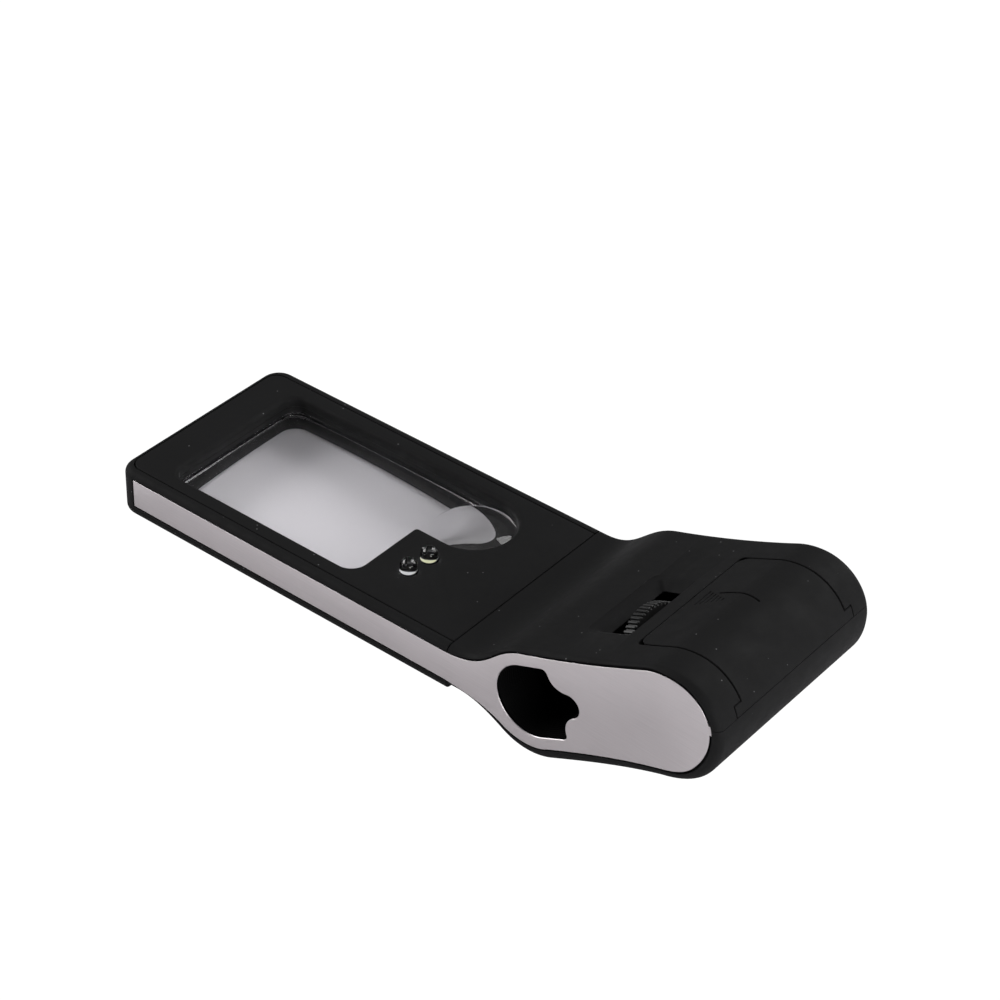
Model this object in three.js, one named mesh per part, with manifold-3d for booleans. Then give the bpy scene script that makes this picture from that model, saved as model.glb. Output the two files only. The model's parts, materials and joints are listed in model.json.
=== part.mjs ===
// A pocket counterfeit-note detector: a flat lens section with two torch LEDs at the front, and a
// thicker grip behind it that holds a focusing side-looking microscope and three button cells.
//
// Units are millimetres. The case frame has X along the length (0 at the front end), Y across the
// width (0 on the centre plane, the microscope's objective looks towards -Y) and Z up, with 0 on the
// underside of the lens section. The grip is bent up, so its parts are placed in a grip frame, whose
// origin is on the microscope's optical axis and whose x runs along the bent grip.
import * as THREE from "three";
import { mergeVertices } from "three/addons/utils/BufferGeometryUtils.js";
import Module from "manifold-3d";

const wasm = await Module();
wasm.setup();

// ---- Driving dimensions ----
const WIDTH = 45;
const HALF = WIDTH / 2;
const SLAB = { length: 81.2, thick: 10, corner: 4, coverThick: 1.75, bezelThick: 2 };
const GAP = 0.1; // clearance between fitted parts
const WALL = 1.6; // grip shell
const SIDE_WALL = 1.2; // grip shell behind a side plate
const PLATE = { thick: 0.5, recess: 0.6, gap: 0.25 };
const GRIP = { x: 99.7, z: 7.8, angle: THREE.MathUtils.degToRad(23.5) };
const WINDOW = { front: 9.4, rear: 54.8, side: 17.1, notch: 0.6, roundX: 61.8, corner: 3.2 };
const LENS = { top: 6.7, bottom: 4.4, lip: 1.1, middle: 5.8, halfThick: 1.8, faceRadius: 300, webHalf: 0.3 };
const DOME = { radius: 8.15, height: 1.6, stand: 1.5 };
const LENS_X = 34; // middle of the large lens
const LED = { radius: 1.7, height: 5.3, proud: 2.6, flange: 1.95 };
const TORCH_LEDS = [
  [62.8, -5.2],
  [62.2, -10.3],
];
const BARREL = { radius: 6, bore: 4.6, front: -13, rear: 8.5, travel: 2.5 };
const SLEEVE = { inner: 6.15, outer: 7.2, front: -9.5, rear: HALF - 0.8 };
const WHEEL = { radius: 9.3, from: 14.2, to: 17.4, teeth: 60, groove: 0.4, y: -4.2, up: 0.6 };
const PINION = { teeth: 10, module: 0.5, from: 8.1, to: 10.3 };
const SHAFT = { radius: 1.25, to: 21.3 };
const DOOR = { half: 15.4, corner: 2, front: 22.3, stepHalf: 17.3, stepTop: 24.9, partZ: 22.87 };
const CELL = { radius: 5.8, height: 5.4, along: 29.6, up: -0.4, count: 3 };
const SWITCH = { x: 75.9, z: 5.5, travel: 1.6 };
const SCREW = { radius: 1, head: 1.9, headThick: 1 };

// ---- Solids ----
// A closed three.js geometry as a manifold-3d solid.
function solid(geometry) {
  const bare = geometry.index ? geometry.toNonIndexed() : geometry.clone();
  bare.deleteAttribute("normal");
  bare.deleteAttribute("uv");
  const merged = mergeVertices(bare, 1e-4);
  return new wasm.Manifold(
    new wasm.Mesh({
      numProp: 3,
      vertProperties: merged.attributes.position.array,
      triVerts: new Uint32Array(merged.index.array),
    }),
  );
}

function geometryOf(manifold) {
  const mesh = manifold.getMesh();
  const geometry = new THREE.BufferGeometry();
  geometry.setAttribute("position", new THREE.BufferAttribute(mesh.vertProperties, 3));
  geometry.setIndex(new THREE.BufferAttribute(mesh.triVerts, 1));
  return geometry;
}

const cut = (base, ...tools) => tools.reduce((rest, tool) => rest.subtract(tool), base);
const join = (base, ...others) => others.reduce((sum, other) => sum.add(other), base);

// A side-view outline, drawn in x and z, swept from y0 to y1.
function across(outline, y0, y1, curveSegments = 7) {
  const swept = new THREE.ExtrudeGeometry(outline, { depth: y1 - y0, bevelEnabled: false, curveSegments });
  return solid(swept.rotateX(Math.PI / 2).translate(0, y1, 0));
}

// A plan-view outline, drawn in x and y, raised from z0 to z1.
function upright(outline, z0, z1, curveSegments = 5) {
  const raised = new THREE.ExtrudeGeometry(outline, { depth: z1 - z0, bevelEnabled: false, curveSegments });
  return solid(raised.translate(0, 0, z0));
}

function block(x0, x1, y0, y1, z0, z1) {
  const box = new THREE.BoxGeometry(x1 - x0, y1 - y0, z1 - z0);
  return solid(box.translate((x0 + x1) / 2, (y0 + y1) / 2, (z0 + z1) / 2));
}

// A turned solid: profile points are [radius, height], and the axis lies along "x", "y" or "z".
function turned(profile, axis, x = 0, y = 0, z = 0, segments = 24) {
  const points = profile.map(([radius, height]) => new THREE.Vector2(radius, height));
  const lathe = new THREE.LatheGeometry(points, segments);
  if (axis === "x") lathe.rotateZ(-Math.PI / 2);
  if (axis === "z") lathe.rotateX(Math.PI / 2);
  return solid(lathe.translate(x, y, z));
}

// A plain rod between two heights on its axis, as a turned profile.
const rod = (radius, from, to) => [[0, from], [radius, from], [radius, to], [0, to]];
const tube = (inner, outer, from, to) => [
  [inner, from],
  [outer, from],
  [outer, to],
  [inner, to],
  [inner, from],
];

// ---- Outlines ----
function roundedRect(x0, x1, half, frontRadius, rearRadius = frontRadius) {
  const shape = new THREE.Shape();
  shape.moveTo(x0 + frontRadius, -half);
  shape.lineTo(x1 - rearRadius, -half);
  if (rearRadius) shape.absarc(x1 - rearRadius, -half + rearRadius, rearRadius, -Math.PI / 2, 0);
  shape.lineTo(x1, half - rearRadius);
  if (rearRadius) shape.absarc(x1 - rearRadius, half - rearRadius, rearRadius, 0, Math.PI / 2);
  shape.lineTo(x0 + frontRadius, half);
  shape.absarc(x0 + frontRadius, half - frontRadius, frontRadius, Math.PI / 2, Math.PI);
  shape.lineTo(x0, -half + frontRadius);
  shape.absarc(x0 + frontRadius, -half + frontRadius, frontRadius, Math.PI, 1.5 * Math.PI);
  return shape;
}

// The lens window in plan: a rectangle whose far rear quarter runs on into a round end.
// grow moves every edge outwards.
function windowOutline(grow = 0) {
  const { front, rear, side, notch, roundX, corner } = WINDOW;
  const roundY = (notch + side) / 2;
  const round = (side - notch) / 2 + grow;
  const r = corner + grow;
  const shape = new THREE.Shape();
  shape.moveTo(front + corner, -side - grow);
  shape.lineTo(rear - corner, -side - grow);
  shape.absarc(rear - corner, -side + corner, r, -Math.PI / 2, 0);
  shape.lineTo(rear + grow, notch - grow);
  shape.lineTo(roundX, notch - grow);
  shape.absarc(roundX, roundY, round, -Math.PI / 2, Math.PI / 2);
  shape.lineTo(front + corner, side + grow);
  shape.absarc(front + corner, side - corner, r, Math.PI / 2, Math.PI);
  shape.lineTo(front - grow, -side + corner);
  shape.absarc(front + corner, -side + corner, r, Math.PI, 1.5 * Math.PI);
  return shape;
}

// The grip in side view: it leaves the lens section level, humps up over the microscope, runs
// straight up the bend and closes in a rounded heel.
const HEEL = { x: 129, z: 20.2, radius: 9.8 };
const BELLY_RADIUS = 11.8;
function gripOutline() {
  const bellyFrom = THREE.MathUtils.degToRad(-64);
  const bellyTo = THREE.MathUtils.degToRad(-120);
  const belly = (angle) => [
    GRIP.x + BELLY_RADIUS * Math.cos(angle),
    GRIP.z + BELLY_RADIUS * Math.sin(angle),
  ];
  const [endX, endZ] = belly(bellyFrom);
  const shape = new THREE.Shape();
  shape.moveTo(SLAB.length + GAP, SLAB.thick);
  shape.lineTo(82.5, SLAB.thick);
  shape.bezierCurveTo(90.2, 10, 91.4, 16.3, 98, 18.55);
  shape.bezierCurveTo(106.5, 21.35, 115, 24.72, 123.5, 28.8);
  shape.bezierCurveTo(125.3, 29.65, 127.2, 30, HEEL.x, HEEL.z + HEEL.radius);
  shape.absarc(HEEL.x, HEEL.z, HEEL.radius, Math.PI / 2, 0, true);
  shape.bezierCurveTo(138.8, 13.4, 135, 8.9, 128, 7.1);
  shape.bezierCurveTo(120.5, 4.7, 112.5, 0.94, endX, endZ);
  shape.absarc(GRIP.x, GRIP.z, BELLY_RADIUS, bellyFrom, bellyTo, true);
  shape.bezierCurveTo(90.5, -0.5, 87.5, 1, 83.5, 1.05);
  shape.lineTo(SLAB.length + GAP, 1);
  return shape;
}

// The stainless side plate in side view: a strip along the lens section that widens over the grip.
function plateOutline(grow = 0) {
  const shape = new THREE.Shape();
  shape.moveTo(4.3, 2.6);
  shape.lineTo(4.3, 8.6);
  shape.lineTo(80, 8.6);
  shape.bezierCurveTo(91, 8.6, 90.5, 14.9, 97.5, 17.25);
  shape.bezierCurveTo(106.5, 20.35, 114.5, 23.8, 122.6, 27.7);
  shape.bezierCurveTo(126.5, 29.6, 131, 29, 133.9, 26.4);
  shape.bezierCurveTo(137.4, 23.2, 137.2, 17.4, 133.6, 12.6);
  shape.bezierCurveTo(132, 10.6, 129.5, 9.5, 126, 8.4);
  shape.bezierCurveTo(118.5, 6, 112, 3.1, 104.2, -0.6);
  shape.bezierCurveTo(101.5, -2.4, 97.5, -2.5, 94, -0.7);
  shape.bezierCurveTo(90, 1.5, 86, 2, 80, 2.35);
  return grow ? grownOutline(shape, grow) : shape;
}

// A side-view outline with every point moved out by grow (in, if it is negative).
function grownOutline(shape, grow) {
  const points = shape.getPoints(7);
  if (points[0].distanceTo(points[points.length - 1]) < 1e-6) points.pop();
  const inward = THREE.ShapeUtils.isClockWise(points) ? 1 : -1;
  const moved = points.map((point, i) => {
    const before = points[(i + points.length - 1) % points.length];
    const after = points[(i + 1) % points.length];
    const a = point.clone().sub(before).normalize();
    const b = after.clone().sub(point).normalize();
    const normal = new THREE.Vector2(-a.y - b.y, a.x + b.x).multiplyScalar(inward);
    const miter = 2 / Math.max(normal.lengthSq(), 1);
    return point.clone().addScaledVector(normal, miter * grow);
  });
  return new THREE.Shape(moved);
}

// The objective's side opening, in the grip frame: round about the optical axis, with flat flanks
// and, towards the heel, a lobe for the specimen LED between two scallops.
function apertureOutline(grow = 0) {
  const shape = new THREE.Shape();
  const r = 7.2 + grow;
  shape.moveTo(0, r);
  shape.absarc(0, 0, r, Math.PI / 2, 1.5 * Math.PI);
  shape.lineTo(5.4, -7 - grow);
  shape.quadraticCurveTo(6.4 + grow, -7 - grow, 6.4 + grow, -5.6);
  shape.bezierCurveTo(6.6 + grow, -3.6 - grow, 8, -2.7 - grow, 9.2, -2.4 - grow);
  shape.absarc(9, 0, 2.3 + grow, -1.3, 1.3);
  shape.bezierCurveTo(8, 2.7 + grow, 6.6 + grow, 3.6 + grow, 6.4 + grow, 5.6);
  shape.quadraticCurveTo(6.4 + grow, 7 + grow, 5.4, 7 + grow);
  return shape;
}

// ---- Grip frame ----
const gripMatrix = new THREE.Matrix4()
  .makeRotationY(-GRIP.angle)
  .setPosition(GRIP.x, 0, GRIP.z);
const toCase = (manifold) => solid(geometryOf(manifold).applyMatrix4(gripMatrix));

// ---- Lens section ----
const plateRecess = () => {
  const pocket = plateOutline(PLATE.gap);
  return join(
    across(pocket, -HALF - 1, -HALF + PLATE.recess),
    across(pocket, HALF - PLATE.recess, HALF + 1),
  );
};

const coverScrews = [
  [5, -17.5],
  [5, 17.5],
  [76.3, -18.2],
  [63.5, -18.2],
];
// The front pair also clamps the tongue of the frame; the rear pair closes the heel.
const housingScrews = [
  { x: 84.9, y: -12, tip: 9.1, head: 1.05 },
  { x: 84.9, y: 12, tip: 9.1, head: 1.05 },
  { x: 114.5, y: -18.6, tip: 20, head: 1.9 },
  { x: 114.5, y: 18.6, tip: 20, head: 1.9 },
];
const tongueScrews = housingScrews.slice(0, 2);
const heelScrews = housingScrews.slice(2);

function frontFrame() {
  const { length, thick, corner, coverThick, bezelThick } = SLAB;
  const floor = coverThick + GAP;
  const seat = thick - bezelThick - GAP;
  const body = upright(roundedRect(0, length, HALF, corner, 0), floor, thick);
  const tongue = block(length - 1, length + 6.2, -15, 15, 3.9, 6.6);
  const bezelPocket = upright(roundedRect(1.2, length + 1, HALF - 1.9, 2.8, 0), seat, thick + 1);
  const opening = upright(windowOutline(), 0, thick);
  const lensPocket = upright(windowOutline(LENS.lip + GAP), 0, LENS.top + GAP);
  const nearBay = block(57.6, 79.4, -19.8, -1.4, 0, thick);
  const rearBay = block(72.6, 79.4, -1.5, 21, 0, seat + 0.5);
  const wireWay = block(79, 88, 3.8, 8.2, 0, 5.2);
  const bosses = coverScrews.map(([x, y]) => upright(circle(x, y, 2.4), floor, seat - 0.6));
  const pilots = coverScrews.map(([x, y]) => upright(circle(x, y, SCREW.radius + 0.05), 0, 6.2));
  const tongueHoles = tongueScrews.map(({ x, y }) => upright(circle(x, y, SCREW.radius + 0.2), 0, 9));
  const hollow = cut(join(body, tongue), bezelPocket, opening, lensPocket, nearBay, rearBay, wireWay);
  return cut(join(hollow, ...bosses), ...pilots, ...tongueHoles, plateRecess(), switchSlot());
}

function circle(x, y, radius) {
  const shape = new THREE.Shape();
  const sides = 16;
  for (let i = 0; i < sides; i += 1) {
    const angle = (2 * Math.PI * i) / sides;
    const point = [x + radius * Math.cos(angle), y + radius * Math.sin(angle)];
    if (i === 0) shape.moveTo(...point);
    else shape.lineTo(...point);
  }
  return shape;
}

function switchSlot() {
  const reach = SWITCH.travel + 1.6;
  return block(SWITCH.x - reach, SWITCH.x + reach, 20, HALF + 1, SWITCH.z - 1.1, SWITCH.z + 1.1);
}

function lensBezel() {
  const panel = roundedRect(1.35, SLAB.length, HALF - 2.05, 2.65, 0);
  const plate = upright(panel, SLAB.thick - SLAB.bezelThick, SLAB.thick);
  const ledHoles = TORCH_LEDS.map(([x, y]) => upright(circle(x, y, LED.radius + 0.15), 0, 20));
  return cut(plate, upright(windowOutline(), 0, 20), ...ledHoles);
}

// The lower cover has a lip round the window that holds the lens up against the frame.
function bottomCover() {
  const plate = upright(roundedRect(0, SLAB.length, HALF, SLAB.corner, 0), 0, SLAB.coverThick);
  const lip = upright(windowOutline(LENS.lip), SLAB.coverThick - 0.5, LENS.bottom - GAP);
  const holes = coverScrews.map(([x, y]) => {
    const shank = upright(circle(x, y, SCREW.radius + 0.2), -1, 4);
    return join(shank, upright(circle(x, y, SCREW.head + 0.15), -1, 1.1));
  });
  return cut(join(plate, lip), upright(windowOutline(), -1, 8), ...holes);
}

// The large lens has equal spherical faces; its far and near sides are cut off straight by the window.
function largeLens() {
  const { middle, halfThick, webHalf, faceRadius } = LENS;
  const reach = Math.sqrt(2 * faceRadius * (halfThick - webHalf));
  const face = [0, 0.25, 0.5, 0.75, 1].map((share) => {
    const radius = share * reach;
    return [radius, halfThick - radius ** 2 / (2 * faceRadius)];
  });
  const under = face.map(([radius, rise]) => [radius, -rise]);
  const disc = turned([...under, ...face.reverse()], "z", LENS_X, 0, middle, 48);
  return disc.intersect(upright(windowOutline(-0.02), 0, 12));
}

// The small lens is a steep dome on a short cylinder.
function smallLens() {
  const { radius, height, stand } = DOME;
  const ball = (radius ** 2 + height ** 2) / (2 * height);
  const spread = Math.asin(radius / ball);
  const cap = [1, 0.8, 0.6, 0.4, 0.2, 0].map((share) => [
    ball * Math.sin(spread * share),
    stand + height - ball * (1 - Math.cos(spread * share)),
  ]);
  const centreY = (WINDOW.notch + WINDOW.side) / 2;
  return turned([[0, 0], [radius, 0], ...cap], "z", WINDOW.roundX, centreY, LENS.middle, 40);
}

// One acrylic moulding: a flange round the window, and a thin web that carries both lenses.
function magnifierLens() {
  const { bottom, top, lip, middle, webHalf } = LENS;
  const flange = cut(upright(windowOutline(lip), bottom, top), upright(windowOutline(-0.05), 0, 12));
  const web = upright(windowOutline(-0.02), middle - webHalf, middle + webHalf);
  return join(flange, web, largeLens(), smallLens());
}

// A domed LED standing on two legs: base at height 0, dome upwards.
function led(legLength) {
  const { radius, height, flange } = LED;
  const dome = [0, 0.25, 0.5, 0.75, 1].map((t) => [
    radius * Math.cos((t * Math.PI) / 2),
    height - radius + radius * Math.sin((t * Math.PI) / 2),
  ]);
  dome[dome.length - 1][0] = 0;
  const body = turned([[0, 0], [flange, 0], [flange, 0.6], [radius, 0.6], ...dome], "z", 0, 0, 0, 16);
  const leg = (x) => block(x - 0.25, x + 0.25, -0.25, 0.25, -legLength, 0.2);
  return join(body, leg(-0.9), leg(0.9));
}

// ---- Grip shells ----
// Everything above the line where the two grip shells meet.
function abovePart(lift) {
  const shape = new THREE.Shape();
  shape.moveTo(70, 5.6 + lift);
  shape.lineTo(82, 5.6 + lift);
  shape.lineTo(GRIP.x, GRIP.z + lift);
  shape.lineTo(126.5, GRIP.z + 11.65 + lift);
  shape.lineTo(134, DOOR.partZ + lift);
  shape.lineTo(150, DOOR.partZ + lift);
  shape.lineTo(150, 60);
  shape.lineTo(70, 60);
  return across(shape, -40, 40);
}

function gripShell() {
  const outer = across(gripOutline(), -HALF, HALF);
  const reach = HALF - PLATE.recess - SIDE_WALL;
  const inner = across(grownOutline(gripOutline(), -WALL), -reach, reach);
  const mouth = block(SLAB.length - 2, 84, -18, 18, 3, 8.2);
  return cut(outer, inner, mouth, plateRecess());
}

// The tunnels that the objective shroud and the eyepiece sleeve pass through.
function microscopeTunnels() {
  return toCase(
    join(
      across(apertureOutline(0.9), -HALF - 1, -14),
      turned(rod(SLEEVE.outer + GAP, 14, HALF + 1), "y"),
    ),
  );
}

// The finger dish over the focus wheel: three sloping sides and, towards the heel, a plain step,
// with the slot below it that the wheel stands up through.
function wheelDish() {
  const surface = 9.7;
  const depth = 1.8;
  const lift = 3;
  const rim = { x0: 10.4, x1: 18.8, y0: -12.9, y1: 6.4 };
  const slot = { x0: 13.7, x1: 18.8, y0: -11.9, y1: 4.2 };
  const raised = (edge) => slot[edge] + ((rim[edge] - slot[edge]) * (depth + lift)) / depth;
  const top = { x0: raised("x0"), x1: raised("x1"), y0: raised("y0"), y1: raised("y1") };
  const corners = ({ x0, x1, y0, y1 }, z) => [
    [x0, y0, z],
    [x1, y0, z],
    [x1, y1, z],
    [x0, y1, z],
  ];
  const points = [...corners(slot, surface - depth), ...corners(top, surface + lift)];
  const floorAndTop = [0, 2, 1, 0, 3, 2, 4, 5, 6, 4, 6, 7];
  const sides = [0, 1, 2, 3].flatMap((i) => {
    const next = (i + 1) % 4;
    return [i, next, next + 4, i, next + 4, i + 4];
  });
  const dish = new THREE.BufferGeometry();
  dish.setAttribute("position", new THREE.Float32BufferAttribute(points.flat(), 3));
  dish.setIndex([...floorAndTop, ...sides]);
  return toCase(join(solid(dish), block(slot.x0, slot.x1, slot.y0, slot.y1, 4, surface)));
}

function doorRegion(grow) {
  const { half, corner, front, stepHalf, stepTop, partZ } = DOOR;
  const plan = upright(roundedRect(front - grow, 60, half + grow, corner + grow), -8, 30);
  const step = block(130, 150, -stepHalf - grow, stepHalf + grow, partZ, stepTop + grow);
  return join(toCase(plan), step).intersect(abovePart(grow ? -0.01 : 0.12));
}

function upperHousing() {
  const shell = gripShell().intersect(abovePart(0.06));
  const lining = across(grownOutline(gripOutline(), -WALL + 0.4), -HALF + 1.4, HALF - 1.4);
  const rear = heelScrews.map(({ x, y }) =>
    upright(circle(x, y, 2.2), 12.5, 40).intersect(lining).intersect(abovePart(0.06)),
  );
  const front = tongueScrews.map(({ x, y }) => upright(circle(x, y, 2.2), 6.7, 9.5).intersect(lining));
  const pilot = SCREW.radius + 0.05;
  const holes = housingScrews.map(({ x, y, tip }) => upright(circle(x, y, pilot), 0, tip + 0.4));
  const openings = [...holes, microscopeTunnels(), wheelDish(), doorRegion(0.15)];
  return cut(join(shell, ...rear, ...front), ...openings);
}

function lowerHousing() {
  const shell = cut(gripShell(), abovePart(-0.06));
  const lining = across(grownOutline(gripOutline(), -WALL + 0.4), -HALF + 1.4, HALF - 1.4);
  const posts = heelScrews.map(({ x, y }) =>
    cut(upright(circle(x, y, 2.4), -5, 13), abovePart(-0.2)).intersect(lining),
  );
  const front = tongueScrews.map(({ x, y }) => upright(circle(x, y, 2.2), 1.5, 3.8));
  const holes = housingScrews.map(({ x, y, head }) =>
    join(
      upright(circle(x, y, SCREW.radius + 0.2), -5, 20),
      upright(circle(x, y, SCREW.head + 0.15), -5, head + SCREW.headThick + 0.1),
    ),
  );
  return cut(join(shell, ...posts, ...front), ...holes, microscopeTunnels());
}

function batteryDoor() {
  const shell = cut(
    across(gripOutline(), -HALF, HALF),
    across(grownOutline(gripOutline(), -WALL), -HALF - 1, HALF + 1),
  );
  const { front } = DOOR;
  const tongue = toCase(
    join(
      block(front - 2, front + 2.2, -6, 6, 6.7, 7.5),
      block(front + 0.3, front + 2.2, -6, 6, 6.9, 8.8),
    ),
  );
  return join(shell.intersect(doorRegion(0)), tongue);
}

// ---- Side plates ----
function sidePlate(side, ...openings) {
  const outer = side * (HALF - 0.05);
  const inner = outer - side * PLATE.thick;
  const sheet = across(plateOutline(), Math.min(outer, inner), Math.max(outer, inner));
  const tab = block(134.5, 136.9, Math.min(outer, inner), Math.max(outer, inner), 21.6, 23.4);
  const notch = across(plateOutline(PLATE.gap - 0.05), -HALF, HALF);
  return cut(join(sheet, tab.intersect(notch)), ...openings);
}

// An outline drawn in y and z, swept along the grip from x0 to x1.
function alongGrip(outline, x0, x1, y = 0, z = 0) {
  const swept = new THREE.ExtrudeGeometry(outline, { depth: x1 - x0, bevelEnabled: false });
  swept.applyMatrix4(new THREE.Matrix4().set(0, 0, 1, x0, 1, 0, 0, y, 0, 1, 0, z, 0, 0, 0, 1));
  return solid(swept);
}

// ---- Microscope, in the grip frame ----
function objectiveShroud() {
  const wall = 0.7;
  const y0 = -HALF + PLATE.recess + GAP;
  return cut(across(apertureOutline(wall), y0, -12.6), across(apertureOutline(0), -HALF, -12));
}

const rackPitchUp = WHEEL.up - (PINION.teeth * PINION.module) / 2;

// The focusing tube: a nosed barrel with a toothed rack standing off its flank.
function objectiveBarrel() {
  const { radius, bore, front, rear } = BARREL;
  const profile = [
    [1.7, front],
    [3.4, front],
    [3.9, front + 2.4],
    [radius, front + 3.4],
    [radius, rear],
    [bore, rear],
    [bore, front + 5.2],
    [1.7, front + 3.2],
    [1.7, front],
  ];
  const rib = block(5.2, 8, -8.3, 3, rackPitchUp - 2.1, rackPitchUp - 0.9);
  return join(turned(profile, "y"), rib, focusRack());
}

// The rack is a toothed outline in y and z. A gap between teeth lies under the pinion's axis.
function focusRack() {
  const pitch = Math.PI * PINION.module;
  const teeth = 6;
  const back = rackPitchUp - 2.1;
  const root = rackPitchUp - 0.65;
  const tip = rackPitchUp + 0.42;
  const start = WHEEL.y - ((teeth + 1) * pitch) / 2;
  const shape = new THREE.Shape();
  shape.moveTo(start, back);
  shape.lineTo(start, root);
  for (let tooth = 1; tooth <= teeth; tooth += 1) {
    const middle = start + tooth * pitch;
    shape.lineTo(middle - 0.52, root);
    shape.lineTo(middle - 0.14, tip);
    shape.lineTo(middle + 0.14, tip);
    shape.lineTo(middle + 0.52, root);
  }
  shape.lineTo(start + (teeth + 1) * pitch, root);
  shape.lineTo(start + (teeth + 1) * pitch, back);
  return alongGrip(shape, PINION.from - 0.2, PINION.to + 0.2);
}

function barrelSleeve() {
  const { inner, outer, front, rear } = SLEEVE;
  const slot = block(4, 9, -12, 7, rackPitchUp - 2.4, rackPitchUp - 0.6);
  return cut(turned(tube(inner, outer, front, rear), "y"), slot);
}

// A lens ground to a convex face on both sides.
function lensDisc(radius, edge, bulge, y) {
  const face = (side) =>
    [0, 1, 2, 3].map((step) => {
      const r = (radius * step) / 3;
      return [r, side * (edge / 2 + bulge * (1 - (r / radius) ** 2))];
    });
  return turned([...face(-1), ...face(1).reverse()], "y", 0, y, 0, 20);
}

function eyepieceCup() {
  const profile = [
    [4.3, 15.2],
    [SLEEVE.inner - GAP, 15.2],
    [SLEEVE.inner - GAP, HALF - 0.1],
    [5.6, HALF - 0.1],
    [4.3, HALF - 3.2],
    [4.3, 15.2],
  ];
  return turned(profile, "y");
}

const retainerRing = (y) => turned(tube(3.2, SLEEVE.inner - 0.05, y, y + 0.9), "y");

// ---- Focus drive, in the grip frame ----
function focusWheel() {
  const { radius, from, to, teeth, groove, y, up } = WHEEL;
  const shape = new THREE.Shape();
  for (let i = 0; i < 2 * teeth; i += 1) {
    const angle = (Math.PI * i) / teeth;
    const r = i % 2 ? radius - groove : radius;
    if (i === 0) shape.moveTo(r, 0);
    else shape.lineTo(r * Math.cos(angle), r * Math.sin(angle));
  }
  const bore = turned(rod(SHAFT.radius + 0.03, from - 1, to + 1), "x", 0, y, up);
  return cut(alongGrip(shape, from, to, y, up), bore);
}

// The shaft and the pinion cut on its end; a pinion tooth points straight down at the rack.
function focusShaft() {
  const { teeth, module, from, to } = PINION;
  const pitchRadius = (teeth * module) / 2;
  const rootHalf = THREE.MathUtils.degToRad(11);
  const tipHalf = THREE.MathUtils.degToRad(3.4);
  const flank = [
    [-rootHalf, pitchRadius - 0.6],
    [-tipHalf, pitchRadius + 0.42],
    [tipHalf, pitchRadius + 0.42],
    [rootHalf, pitchRadius - 0.6],
  ];
  const shape = new THREE.Shape();
  for (let tooth = 0; tooth < teeth; tooth += 1) {
    flank.forEach(([offset, r], corner) => {
      const angle = (2 * Math.PI * tooth) / teeth + offset - Math.PI / 2;
      const point = [r * Math.cos(angle), r * Math.sin(angle)];
      if (tooth === 0 && corner === 0) shape.moveTo(...point);
      else shape.lineTo(...point);
    });
  }
  const shaft = turned(rod(SHAFT.radius, from, SHAFT.to), "x", 0, WHEEL.y, WHEEL.up, 20);
  return join(alongGrip(shape, from, to, WHEEL.y, WHEEL.up), shaft);
}

// Two ears on a foot that carry the shaft on either side of the wheel.
function wheelBracket() {
  const { y, up } = WHEEL;
  const ears = [[11.2, 12.6], [19, 20.4]].map(([from, to]) =>
    join(
      block(from, to, y - 3, y + 3, -9.3, up),
      turned(rod(3, from, to), "x", 0, y, up, 20),
    ),
  );
  const foot = block(11.2, 20.4, y - 3, y + 3, -9.6, -8.9);
  return cut(join(...ears, foot), turned(rod(SHAFT.radius + 0.08, 10, 22), "x", 0, y, up, 20));
}

// ---- Battery bay, in the grip frame ----
const stackHalf = (CELL.count * CELL.height + (CELL.count - 1) * GAP) / 2;

function batteryCradle() {
  const { radius, along, up } = CELL;
  const end = stackHalf + 2.4;
  const tray = block(along - radius - 1.2, along + radius - 1.6, -end - 1, end + 1, -9.2, up - 1.4);
  const bed = turned(rod(radius + 0.2, -end, end), "y", along, 0, up);
  return cut(tray, bed);
}

const cell = (index) => {
  const { radius, height, along, up } = CELL;
  const y = (index - 1) * (height + GAP) - height / 2;
  const profile = [
    [0, 0],
    [radius - 1.2, 0],
    [radius - 0.9, 0.5],
    [radius, 0.8],
    [radius, height],
    [0, height],
  ];
  return turned(profile, "y", along, y, up);
};

// A conical contact spring, flattened here to the pitch it has with the cells fitted.
function batterySpring() {
  const turns = 3;
  class Coil extends THREE.Curve {
    getPoint(t, target = new THREE.Vector3()) {
      const angle = 2 * Math.PI * turns * t;
      const r = 3.6 - 1.8 * t;
      const y = -stackHalf - 1.85 + 1.4 * t;
      return target.set(CELL.along + r * Math.cos(angle), y, CELL.up + r * Math.sin(angle));
    }
  }
  return wire(new Coil(), 0.22, 36, 5);
}

const contactTab = () =>
  block(CELL.along - 3.5, CELL.along + 3.5, stackHalf + 1.6, stackHalf + 2, CELL.up - 4.5, CELL.up + 3);

function wire(curve, radius, steps, sides) {
  const section = new THREE.Shape();
  for (let i = 0; i < sides; i += 1) {
    const angle = (2 * Math.PI * i) / sides;
    const point = [radius * Math.cos(angle), radius * Math.sin(angle)];
    if (i === 0) section.moveTo(...point);
    else section.lineTo(...point);
  }
  return solid(new THREE.ExtrudeGeometry(section, { steps, extrudePath: curve, bevelEnabled: false }));
}

// The leads run from the circuit board, under the microscope, to the battery contacts.
function batteryLead(y, endY) {
  const route = [
    [77, y, 4.6],
    [81.5, y, 4.3],
    [88, y, 3.7],
    [92, y, 2.9],
    [95.3, y, 0.3],
    [GRIP.x, y, -0.9],
    [104, y, 0.3],
    [115, (y + endY) / 2, 5],
    [119.2, endY, 8.2],
    [120, endY, 12],
  ];
  const points = route.map((point) => new THREE.Vector3(...point));
  return wire(new THREE.CatmullRomCurve3(points), 0.45, 26, 5);
}

// ---- Electronics in the lens section ----
const BOARD = { x0: 58.4, x1: 78.8, y0: -18.6, y1: -2, z0: 3, z1: 4 };

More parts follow.
